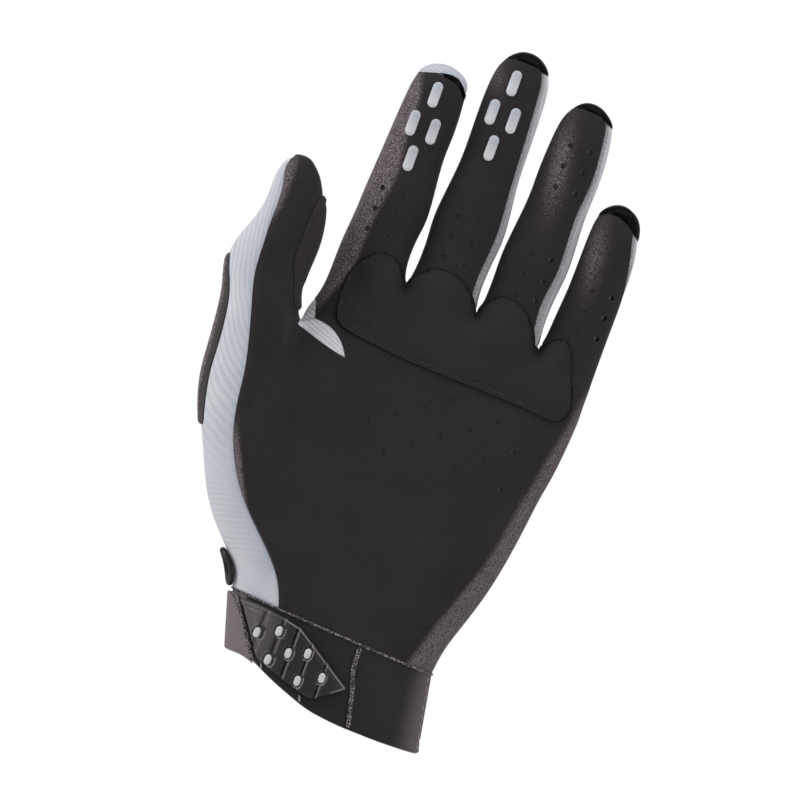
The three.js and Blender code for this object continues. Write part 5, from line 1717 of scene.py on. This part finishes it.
class OBJECT_OT_glove_thumb(SceneOperator, bpy.types.Operator):
    """Suede overlays on the inner side of the thumb and on its back edge"""
    bl_idname = "object.glove_thumb"
    bl_label = "Thumb Overlays"

    def execute(self, context):
        sizes = context.scene.glove_sizes
        skin = hand()
        thick = sizes.overlay / MM
        outline = rounded([digit_spot(THUMB, *spot) for spot in THUMB_INNER], INNER_CORNER)
        high = overlay_height(depth_inside(skin.points[:, [0, 2]], outline), thick)
        chosen = skin.on_palm & (skin.digit == THUMB)
        half = prism(outline, -FAR, -THUMB_FORWARD * 0.7)
        obj = trimmed("Thumb_Inner_Overlay", chosen, 0.05, high, half)
        # A little painted sheen
        paint(obj, np.full(len(obj.data.vertices), INNER_SHEEN))
        finished(obj, suede(), ["thumb_inner_overlay"])
        knots = [(-THUMB_FORWARD + back * THUMB_DEPTH, DIGITS[THUMB]["foot"] + along * THUMB_LENGTH)
                 for back, along in THUMB_BACK]
        middle = DIGITS[THUMB]["centre"]
        outline = rounded(knots, BACK_CORNER_RADIUS, 8)
        high = overlay_height(depth_inside(skin.points[:, [1, 2]], outline), thick)
        half = prism(outline, -FAR, middle, "YZ")
        obj = trimmed("Thumb_Back_Overlay", ~skin.on_palm, 0.05, high, half)
        # Painted sheen, stronger towards the front
        paint(obj, BACK_SHEEN + BACK_SHEEN_RISE * smooth((-2 - spots_of(obj)[:, 1]) / 14))
        finished(obj, suede(), ["thumb_back_overlay"])
        # A dark strip of painted shade showing beyond the back overlay's edge
        edge = rounded([(y - SHADOW_STRIP_REACH, z) for y, z in knots], BACK_CORNER_RADIUS, 8)
        half = prism(edge, -FAR, middle, "YZ")
        obj = trimmed("Thumb_Back_Edge", ~skin.on_palm, 0.03, SHADOW_STRIP_THICK, half)
        finished(obj, yarn("Dark Overlock", "#151314", "#2b2728"))
        return {"FINISHED"}


class OBJECT_OT_glove_grips(SceneOperator, bpy.types.Operator):
    """Domed silicone pads of the index and middle fingertips"""
    bl_idname = "object.glove_grips"
    bl_label = "Grip Pads"

    def execute(self, context):
        sizes = context.scene.glove_sizes
        skin = hand()
        tall = sizes.grip / MM

        def height(flat, depth):
            return 0.08 + tall * shoulder(depth, GRIP_WIDTH / 2)

        for i, (number, across, along) in enumerate(GRIPS):
            name = f"{DIGITS[number]['name']}_grip_{i % 4 + 1}"
            outline = stadium(*digit_spot(number, across, along), GRIP_WIDTH, GRIP_LENGTH)
            obj = patch(name.title(), skin, evenly(outline, 0.35), height, 0.4)
            spots = spots_of(obj)
            low, high = spots[:, 2].min(), spots[:, 2].max()
            # Painted light, paler towards the bottom of the pad
            paint(obj, smooth((high - spots[:, 2]) / (high - low)))
            finished(obj, silicone("Grip Silicone", "silicone"), [name])
        return {"FINISHED"}


class OBJECT_OT_glove_fingertips(SceneOperator, bpy.types.Operator):
    """Glossy rubber caps over the fingertips"""
    bl_idname = "object.glove_fingertips"
    bl_label = "Fingertips"

    def execute(self, context):
        sizes = context.scene.glove_sizes
        gloss = rubber("Gloss Rubber", "rubber", 0.28, 0.05)
        for number, edge in TIP_EDGES.items():
            name = f"{DIGITS[number]['name']}_tip"
            if number == INDEX:
                cover = self.cap("Index_Tip_Cover", number, INDEX_COVER, sizes.cap, False)
                # Painted shade over the cover
                paint(cover, np.full(len(cover.data.vertices), 0.5), "shade")
                finished(cover, ribbed_cloth(True), [name])
            obj = self.cap(name.title(), number, edge, sizes.cap, number != INDEX)
            if number == INDEX:
                above = prism(open_above(INDEX_COVER), -FAR, FAR)
                cut(obj, above)
                remove(above)
                crisp(obj, 60)
            finished(obj, gloss, [name])
        return {"FINISHED"}

    def cap(self, name, number, edge, thick, is_wrapped):
        """A layer over a fingertip, above an edge in front and, if wrapped, lower at the back."""
        digit = DIGITS[number]
        skin = hand()
        outline = open_above(edge)
        inside = depth_inside(skin.points[:, [0, 2]], outline)
        full = shoulder(np.maximum(inside, 0), CAP_FRONT_EDGE)
        body = prism(outline, -FAR, FAR)
        if is_wrapped:
            start, end = (digit["depth"] * share - FINGER_CURL for share in (CAP_START, CAP_END))
            top = digit["foot"] + digit["length"]
            high, low = top - CAP_HIGH, top - CAP_LOW
            y, z = skin.points[:, 1], skin.points[:, 2]
            above = z - np.interp(y, [start, end], [high, low])
            full = np.where(y > start, shoulder(np.maximum(above, 0), CAP_BACK_EDGE), full)
            behind = [(start, ABOVE), (start, high), (end, low), (FAR, low), (FAR, ABOVE)]
            fall = prism(behind, edge[0][0], edge[-1][0], "YZ")
            cut(body, fall, "UNION")
            remove(fall)
        return trimmed(name, skin.digit == number, 0.02, 0.08 + thick / MM * full, body, 60)


def open_above(edge):
    """The outline of all that lies above an edge."""
    return [*edge, (edge[-1][0], ABOVE), (edge[0][0], ABOVE)]


# Cuff, strap and trim

CUFF_LENGTH = 23
CUFF_WIDTH, CUFF_DEPTH = 68.8, 44
NEOPRENE = 2.4
STRAP = 1.4
CUFF_TURNS = 192

# The hem's height as a share of the cuff's length, by a share across its width
HEM = ((0, 0.25), (0.09, 0.27), (0.145, 0.19), (0.25, 0.05), (0.36, -0.065), (0.43, -0.14),
       (0.58, -0.2), (0.8, -0.226), (1, -0.226))


def cuff_point(turn, share, height, up=0.0):
    """A point of the cuff by its turn, its share up, its height off the face and a rise."""
    c, s = math.cos(turn), math.sin(turn)
    power = 2 / DIGIT_POWER
    cx = math.copysign(abs(c) ** power, c)
    sy = math.copysign(abs(s) ** power, s)
    half_width = lerp(CUFF_WIDTH, WRIST_WIDTH, share) / 2 + height
    half_depth = lerp(CUFF_DEPTH, WRIST_DEPTH, share) / 2 + height
    x = lerp(0, WRIST_SHIFT, share) + half_width * cx
    top = WRIST_HEIGHT + slant(x, 0) - 0.15
    low = hem_height((1 + cx) / 2)
    return x, -half_depth * sy, lerp(low, top, share) + up


def hem_height(across):
    """The hem's height, with its corners evened out."""
    places = np.linspace(across - 0.05, across + 0.05, 7)
    heights = np.interp(places, [h[0] for h in HEM], [h[1] for h in HEM])
    return float(heights.mean()) * CUFF_LENGTH


def cuff_turns(count=CUFF_TURNS):
    return [-2 * math.pi * i / count for i in range(count)]


def ring_mesh(name, profile, count=CUFF_TURNS):
    """A closed band round the cuff. Its profile has rows of share, height and rise."""
    size = len(profile)
    points = [cuff_point(turn, *row) for turn in cuff_turns(count) for row in profile]
    faces = []
    for i in range(count):
        a, b = i * size, ((i + 1) % count) * size
        faces += [[a + j, b + j, b + (j + 1) % size, a + (j + 1) % size] for j in range(size)]
    return outward(mesh_of(name, points, faces))


@functools.lru_cache(maxsize=1)
def cuff_surface():
    """The cuff's outer face, for the pieces that lie on it."""
    rows = spread(0, 1, 20)
    turns = cuff_turns()
    points = np.array([cuff_point(turn, share, 0) for turn in turns for share in rows])
    size = len(rows)
    faces = np.array([
        [i * size + j, ((i + 1) % len(turns)) * size + j,
         ((i + 1) % len(turns)) * size + j + 1, i * size + j + 1]
        for i in range(len(turns)) for j in range(size - 1)
    ])
    normals = np.zeros_like(points)
    a, b, c, d = (points[faces[:, k]] for k in range(4))
    across = np.cross(c - a, d - b)
    outward = np.sign(np.sum(across * (a * [1, 1, 0]), axis=1))[:, None]
    for k in range(4):
        np.add.at(normals, faces[:, k], across * outward)
    return Surface(points, normals / np.linalg.norm(normals, axis=1)[:, None], faces)


def tube(name, places, outs, radius, height, is_closed=False, sides=14, flat=1.0):
    """A round cord along places on a surface, at a height over it, with domed ends."""
    places = np.asarray(places, float)
    outs = np.asarray(outs, float)
    if is_closed:
        along = np.roll(places, -1, 0) - np.roll(places, 1, 0)
        scale = np.ones(len(places))
    else:
        along = np.gradient(places, axis=0)
        run = run_along(places)
        to_end = np.minimum(run, run[-1] - run)
        scale = np.sqrt(np.clip(1 - (1 - np.clip(to_end / radius, 0, 1)) ** 2, 0.02, 1))
    along /= np.linalg.norm(along, axis=1)[:, None]
    side = np.cross(outs, along)
    side /= np.linalg.norm(side, axis=1)[:, None]
    points = []
    for k in range(sides):
        angle = 2 * math.pi * k / sides
        points.append(places + outs * height + scale[:, None] * radius * (
            side * math.cos(angle) + outs * flat * math.sin(angle)))
    points = np.stack(points, 1).reshape(-1, 3)
    n = len(places)
    faces = []
    for i in range(n if is_closed else n - 1):
        a, b = i * sides, ((i + 1) % n) * sides
        faces += [[a + k, a + (k + 1) % sides, b + (k + 1) % sides, b + k] for k in range(sides)]
    if not is_closed:
        faces.append(list(range(sides))[::-1])
        faces.append(list(range((n - 1) * sides, n * sides)))
    return outward(mesh_of(name, points, faces))


def on_cuff(path, step=0.4):
    """Places and normals of a path in X and Z on the cuff's front."""
    return cuff_surface().land(in_front(evenly(path, step, False)), INWARD)


def binding():
    """Bias tape with a salt and pepper fleck, round the seams."""
    return yarn("Speckled Binding", "#1a1819", "#a0989b")


# Lines on the cuff's front
STRAP_LINE = ((-38.6, 24.2), (-35, 20.9), (-29.1, 12), (-25.2, 5.8))
UPRIGHT_LINE = ((5.0, 21.4), (5.0, 17.2), (5.5, 12.9), (6.9, 9), (7.9, 5), (9.9, -3), (10.2, -4.1))
TAB_OUTLINE = (
    (-36, 23.3), (-30, 23.2), (-20, 22.1), (-14.6, 20.9), (5.9, 7.4), (0.6, 3.4), (-4.4, 0.2),
    (-10.4, 1.9), (-15.4, 3.6), (-24.3, 6.8), (-28, 12.6), (-34, 21.6),
)
TAB_STEPS = (-26.5, -20.6, -15.4, -9.8, -3.4)
TAB_PILLS = (
    (-26.7, 14.8), (-20.6, 17.5), (-20.7, 7.8), (-15.6, 11.8), (-9.9, 13.8), (-10, 4.5), (-3.2, 8),
)
PILL_WIDTH, PILL_LENGTH = 2.2, 3.5
EDGE_LINE = ((28.6, 20.3), (29.9, 14), (31, 8), (32.3, 2), (33.3, -4))
BARTACKS = (("Bartack_Left", (-22.3, 4.9)), ("Bartack_Right", (-7.3, -0.5)))
BAR_TURNS, BAR_WIDTH, BAR_LEAN, BAR_PITCH = 7, 0.4, 0.12, 0.33

# The strap's front end in X and Z, where it ends behind, and where the two meet in Y
STRAP_FRONT = ((-80, 46), (-40.4, 27.6), (-35.9, 20.9), (-30, 12), (-26.1, 5.5), (-21.7, -2.3),
               (-80, -23))
STRAP_END = -3.6
STRAP_MEETING = 1.5

# The hem's stitched row as depth, share up the cuff and width
HEM_ROW = (0.3, 0.17, 0.02)

# The strap's height off the cuff. Then each piping's size as a share of a bound seam's, and
# its height off the face that it lies on
STRAP_FOOT = 0.3
WRIST_PIPING, CUFF_PIPING, STRAP_PIPING = (0.75, 0.1), (1.45, 0.3), (1.3, 1.5)


class OBJECT_OT_glove_cuff(SceneOperator, bpy.types.Operator):
    """Neoprene cuff with a turned hem, its bound seams and its stitching"""
    bl_idname = "object.glove_cuff"
    bl_label = "Cuff"

    def execute(self, context):
        sizes = context.scene.glove_sizes
        half = NEOPRENE / 2
        fold = [(0, -half + half * math.cos(a), half * (1 - math.sin(a)))
                for a in spread(0, math.pi, 8)]
        outer = []
        row_depth, row_place, row_width = HEM_ROW
        for share in spread(0.08, 0.96, 44):
            outer.append((share, -row_depth * bell(share - row_place, row_width), 0))
        edge = [(0.985, -0.1, 0), (1, -0.5, 0), (1, -NEOPRENE + 0.4, 0), (0.98, -NEOPRENE, 0)]
        inner = [(share, -NEOPRENE, 0) for share in spread(0.9, 0.1, 8)]
        obj = ring_mesh("Cuff_Band", outer + edge + inner + fold[::-1])
        # Painted sheen on the cuff's sides
        paint(obj, cuff_painted_sheen(spots_of(obj)))
        finished(obj, neoprene(), ["cuff_band"])

        turns = cuff_turns(360)
        seam = np.array([cuff_point(turn, 1, 0) for turn in turns])
        outs = np.array([cuff_point(turn, 1, 1) for turn in turns]) - seam
        outs /= np.linalg.norm(outs, axis=1)[:, None]
        radius = sizes.piping / MM / 2
        wide, off = WRIST_PIPING
        obj = tube("Wrist_Piping", seam, outs, radius * wide, off, True)
        finished(obj, binding(), ["wrist_piping"])
        places, normals = on_cuff(UPRIGHT_LINE)
        wide, off = CUFF_PIPING
        obj = tube("Cuff_Piping", places, normals, radius * wide, off, flat=0.8)
        finished(obj, binding(), ["cuff_piping"])

        light = yarn("Light Thread", "#7d7577", "#b5adaf")
        stitches("Edge_Stitches", cuff_surface(), EDGE_LINE, sizes, light, 0.1)
        for name, (x, z) in BARTACKS:
            rows = [(x + BAR_WIDTH / 2 * (-1) ** i - BAR_LEAN * i, z - 1 + BAR_PITCH * i)
                    for i in range(BAR_TURNS)]
            places, normals = on_cuff(rows, 0.25)
            obj = tube(name, places, normals, 0.3, 0.15, sides=8)
            finished(obj, light)
        return {"FINISHED"}


# The tab's grooves and the ridges beside them, its rim's line, and the seats and lips of its
# pads, as depth or height, place and width
TAB_FOOT, TAB_EDGE = 0.25, 0.55
GROOVE_DEPTH, GROOVE_WIDTH = 0.75, 0.34
RIDGE_HEIGHT, RIDGE_PLACE, RIDGE_WIDTH = 0.28, 0.85, 0.4
RIM_DEPTH, RIM_PLACE, RIM_WIDTH = 0.3, 1.5, 0.25
SEAT_DEPTH, SEAT_ROOM, SEAT_POWER = 0.7, 0.25, 2.4
LIP_HEIGHT, LIP_PLACE, LIP_WIDTH = 0.25, 1.18, 0.12

# A pad's foot and dome below the tab's top, and the width of its rounded edge
PILL_FOOT, PILL_START, PILL_DOME, PILL_EDGE = 0.6, 0.35, 0.6, 0.8


def around_pill(flat, x, z):
    """Offsets of spots from a tab's pad, and how far out they lie, with 1 on its seat's edge."""
    u = (flat[:, 0] - x) / (PILL_WIDTH / 2 + SEAT_ROOM)
    v = (flat[:, 1] - z) / (PILL_LENGTH / 2 + SEAT_ROOM)
    return u, v, (np.abs(u) ** SEAT_POWER + np.abs(v) ** SEAT_POWER) ** (1 / SEAT_POWER)


def tab_height(flat, depth, top):
    """Height of the tab: steps across it, seats for its pads and a line inside its rim."""
    made = np.full(len(flat), top)
    for x in TAB_STEPS:
        d = flat[:, 0] - x
        made -= GROOVE_DEPTH * bell(d, GROOVE_WIDTH)
        made += RIDGE_HEIGHT * bell(d - RIDGE_PLACE, RIDGE_WIDTH)
    for x, z in TAB_PILLS:
        _, _, reach = around_pill(flat, x, z)
        seat = 1 - smooth((reach - 0.92) / 0.1)
        lip = LIP_HEIGHT * bell(reach - LIP_PLACE, LIP_WIDTH)
        made = made * (1 - seat) + (top - SEAT_DEPTH) * seat + lip
    made -= RIM_DEPTH * bell(depth - RIM_PLACE, RIM_WIDTH)
    return TAB_FOOT + (made - TAB_FOOT) * shoulder(depth, TAB_EDGE)


def tab_painted_highlights(flat):
    """Painted highlights on the tab's rubber along its upper rim, its steps and its lips, and painted
    sheen on its left.
    """
    x, z = flat[:, 0], flat[:, 1]
    upper = smooth((0.6 * x + 0.8 * z - 3) / 3)
    lines = 0.6 * upper * bell(depth_inside(flat, TAB_OUTLINE) - 0.65, 0.2)
    lines = np.maximum(lines, 0.2 * smooth((-17 - x) / 13))
    for step in TAB_STEPS:
        lines = np.maximum(lines, 0.55 * bell(x - step - 0.5, 0.17))
    for spot in TAB_PILLS:
        u, v, reach = around_pill(flat, *spot)
        lines = np.where(reach < 1.3, 0.03, lines)
        lines = np.maximum(lines, 0.75 * bell(reach - 1.12, 0.1) * ((u - v) > 0.3))
    return lines


class OBJECT_OT_glove_strap(SceneOperator, bpy.types.Operator):
    """Strap with its piping, and its moulded tab with light inlays"""
    bl_idname = "object.glove_strap"
    bl_label = "Strap"

    def execute(self, context):
        sizes = context.scene.glove_sizes
        low, high = STRAP_FOOT, STRAP_FOOT + STRAP
        rows = [(share, high, 0) for share in spread(0.03, 0.9, 16)]
        rows = [(0.0, low + 0.3, 0), (0.008, high - 0.25, 0), *rows,
                (0.922, high - 0.25, 0), (0.93, low + 0.3, 0)]
        rows += [(share, low, 0) for share in spread(0.93, 0.0, 6)]
        band = ring_mesh("Strap_Band", rows)
        front = prism(STRAP_FRONT, -FAR, STRAP_MEETING)
        back = prism([(-FAR, FAR), (-FAR, -FAR), (STRAP_END, -FAR), (STRAP_END, FAR)], 0, FAR)
        cut(front, back, "UNION")
        cut(band, front, "INTERSECT")
        remove(front, back)
        crisp(band, 40)
        apply(band, "BEVEL", width=0.35 * MM, segments=3, limit_method="ANGLE",
              angle_limit=math.radians(60), use_clamp_overlap=True)
        # Painted sheen, as on the cuff
        paint(band, cuff_painted_sheen(spots_of(band)))
        finished(band, neoprene(), ["strap_band"])

        places, normals = on_cuff(STRAP_LINE)
        wide, off = STRAP_PIPING
        obj = tube("Strap_Piping", places, normals, sizes.piping / MM / 2 * wide, off)
        finished(obj, binding(), ["strap_piping"])

        top = STRAP_FOOT + sizes.tab / MM

        def height(flat, depth):
            return tab_height(flat, depth, top)

        def dome(flat, depth):
            return top - PILL_START + PILL_DOME * shoulder(depth, PILL_EDGE)

        face = cuff_surface()
        tab = patch("Strap_Tab", face, evenly(rounded(TAB_OUTLINE, 1.6), 0.3), height, 0.3)
        crisp(tab, 60)
        # Painted highlights and sheen on the tab
        paint(tab, tab_painted_highlights(spots_of(tab)[:, [0, 2]]))
        finished(tab, rubber("Matt Rubber", "tab", 0.42), ["strap_tab"])
        for i, (x, z) in enumerate(TAB_PILLS):
            outline = evenly(stadium(x, z, PILL_WIDTH, PILL_LENGTH), 0.25)
            pill = patch(f"Tab_Pill_{i + 1}", face, outline, dome, 0.3, top - PILL_FOOT)
            finished(pill, silicone("Tab Inlay", "inlay"), [f"tab_pill_{i + 1}"])
        return {"FINISHED"}


# The side ring: half its length and width over all, its section's radius, the height of its
# middle, its long direction and the direction that it faces
RING_HALF_LENGTH, RING_HALF_WIDTH = 6.5, 4.1
RING_SECTION, RING_HEIGHT = 1, 1.35
RING_ALONG, RING_OUT = (0.62, 0, -0.78), (-0.76, -0.24, -0.6)


def unit(vector):
    return vector / np.linalg.norm(vector)


class OBJECT_OT_glove_ring(SceneOperator, bpy.types.Operator):
    """Oval rubber ring on the thumb's side of the wrist"""
    bl_idname = "object.glove_ring"
    bl_label = "Side Ring"

    def execute(self, context):
        thin = 0.2
        shape, loops = pattern_of(
            bpy.ops.mesh.primitive_torus_add, major_segments=96, minor_segments=20,
            major_radius=MM, minor_radius=thin * MM,
        )
        out = unit(np.array(RING_OUT))
        across = unit(np.cross(out, RING_ALONG))
        along = np.cross(across, out)
        centre = np.array([lerp(WRIST_LEFT, THUMB_LEFT, 0.1), -WRIST_DEPTH * 0.12, palm_z(0.073)])
        angle = np.arctan2(shape[:, 1], shape[:, 0])
        inset = RING_SECTION * (1 - (np.hypot(shape[:, 0], shape[:, 1]) - 1) / thin)
        u = np.cos(angle) * (RING_HALF_LENGTH - inset)
        v = np.sin(angle) * (RING_HALF_WIDTH - inset)
        spots = centre + u[:, None] * along + v[:, None] * across
        places, normals = hand().land(spots, -out)
        height = RING_HEIGHT + RING_SECTION * shape[:, 2] / thin
        obj = mesh_of("Side_Ring", places + normals * height[:, None], loops)
        finished(obj, rubber("Moulded Rubber", "ring", 0.34), ["side_ring"])
        return {"FINISHED"}


# Stage

CAMERA_SPOT = (-10.09, -3002.0, 100.34)
CAMERA_DISTANCE = 3000
CAMERA_ROLL = 20
VIEW_WIDTH = 258.06
SENSOR = 36
FLOOR_SIZE, FLOOR_HEIGHT = 1200, -250

# Lights, in metres and watts: place, width and height, and power. All face the glove's middle
GLOVE_MIDDLE = (-0.01, 0, 0.1)
LIGHTS = {
    "Left Softbox": ((-0.95, -0.25, 0.4), (0.5, 1.0), 6.5),
    "Right Softbox": ((0.8, -0.75, 0.35), (0.5, 1.0), 4.5),
    "Top Softbox": ((0.0, -0.25, 0.95), (0.9, 0.6), 3.5),
}
SURROUNDINGS = 0.42


def area_light(name, place, size, power):
    data = bpy.data.lights.new(name, "AREA")
    data.shape = "RECTANGLE"
    data.size, data.size_y = size
    data.energy = power
    obj = bpy.data.objects.new(name, data)
    bpy.context.scene.collection.objects.link(obj)
    obj.location = place
    obj.rotation_euler = (Vector(GLOVE_MIDDLE) - Vector(place)).to_track_quat("-Z", "Y").to_euler()
    return obj


class OBJECT_OT_glove_stage(SceneOperator, bpy.types.Operator):
    """Pale floor, white surroundings, soft lights and the camera"""
    bl_idname = "object.glove_stage"
    bl_label = "Stage"

    def execute(self, context):
        scene = context.scene
        bpy.ops.object.select_all(action="DESELECT")
        bpy.ops.mesh.primitive_plane_add(size=FLOOR_SIZE * MM, location=(0, 0, FLOOR_HEIGHT * MM))
        floor = context.view_layer.objects.active
        floor.name = "Floor"
        material, _, _ = new_material("Pale Floor", linear("#f2f2f2"), Roughness=0.9)
        floor.data.materials.append(material)

        world = bpy.data.worlds.new("White Surroundings")
        world.use_nodes = True
        scene.world = world
        tree = world.node_tree
        background = tree.nodes["Background"]
        path = node(tree, "ShaderNodeLightPath")
        level = node(tree, "ShaderNodeMapRange", {
            "Value": path.outputs["Is Camera Ray"], "To Min": SURROUNDINGS, "To Max": 1.0,
        })
        background.inputs["Color"].default_value = (1, 1, 1, 1)
        tree.links.new(level.outputs[0], background.inputs["Strength"])

        for name, light in LIGHTS.items():
            area_light(name, *light)

        data = bpy.data.cameras.new("Camera")
        data.sensor_width = SENSOR
        data.lens = SENSOR * CAMERA_DISTANCE / VIEW_WIDTH
        camera = bpy.data.objects.new("Camera", data)
        scene.collection.objects.link(camera)
        camera.location = Vector(CAMERA_SPOT) * MM
        level_view = Matrix.Rotation(math.radians(90), 4, "X")
        roll = Matrix.Rotation(math.radians(CAMERA_ROLL), 4, "Z")
        camera.rotation_euler = (level_view @ roll).to_euler()
        scene.camera = camera
        scene.view_settings.view_transform = "Standard"
        return {"FINISHED"}


OPERATORS = (
    OBJECT_OT_glove_palm, OBJECT_OT_glove_gusset, OBJECT_OT_glove_back, OBJECT_OT_glove_knuckles,
    OBJECT_OT_glove_thumb, OBJECT_OT_glove_grips, OBJECT_OT_glove_fingertips, OBJECT_OT_glove_cuff,
    OBJECT_OT_glove_strap, OBJECT_OT_glove_ring, OBJECT_OT_glove_stage,
)


class VIEW3D_PT_glove(bpy.types.Panel):
    """The glove's sizes, colours and pieces"""
    bl_idname = "VIEW3D_PT_glove"
    bl_label = "Motocross Glove"
    bl_space_type = "VIEW_3D"
    bl_region_type = "UI"
    bl_category = "Glove"

    def draw(self, context):
        for group in (context.scene.glove_sizes, context.scene.glove_colours):
            box = self.layout.box()
            for key in group.__annotations__:
                box.prop(group, key)
        for operator in OPERATORS:
            self.layout.operator(operator.bl_idname)


CLASSES = (GloveSizes, GloveColours, *OPERATORS, VIEW3D_PT_glove)


def register():
    for cls in CLASSES:
        bpy.utils.register_class(cls)
    bpy.types.Scene.glove_sizes = PointerProperty(type=GloveSizes)
    bpy.types.Scene.glove_colours = PointerProperty(type=GloveColours)


def unregister():
    del bpy.types.Scene.glove_colours
    del bpy.types.Scene.glove_sizes
    for cls in reversed(CLASSES):
        bpy.utils.unregister_class(cls)


def main():
    register()
    for operator in OPERATORS:
        group, name = operator.bl_idname.split(".")
        getattr(getattr(bpy.ops, group), name)()


if __name__ == "__main__":
    main()
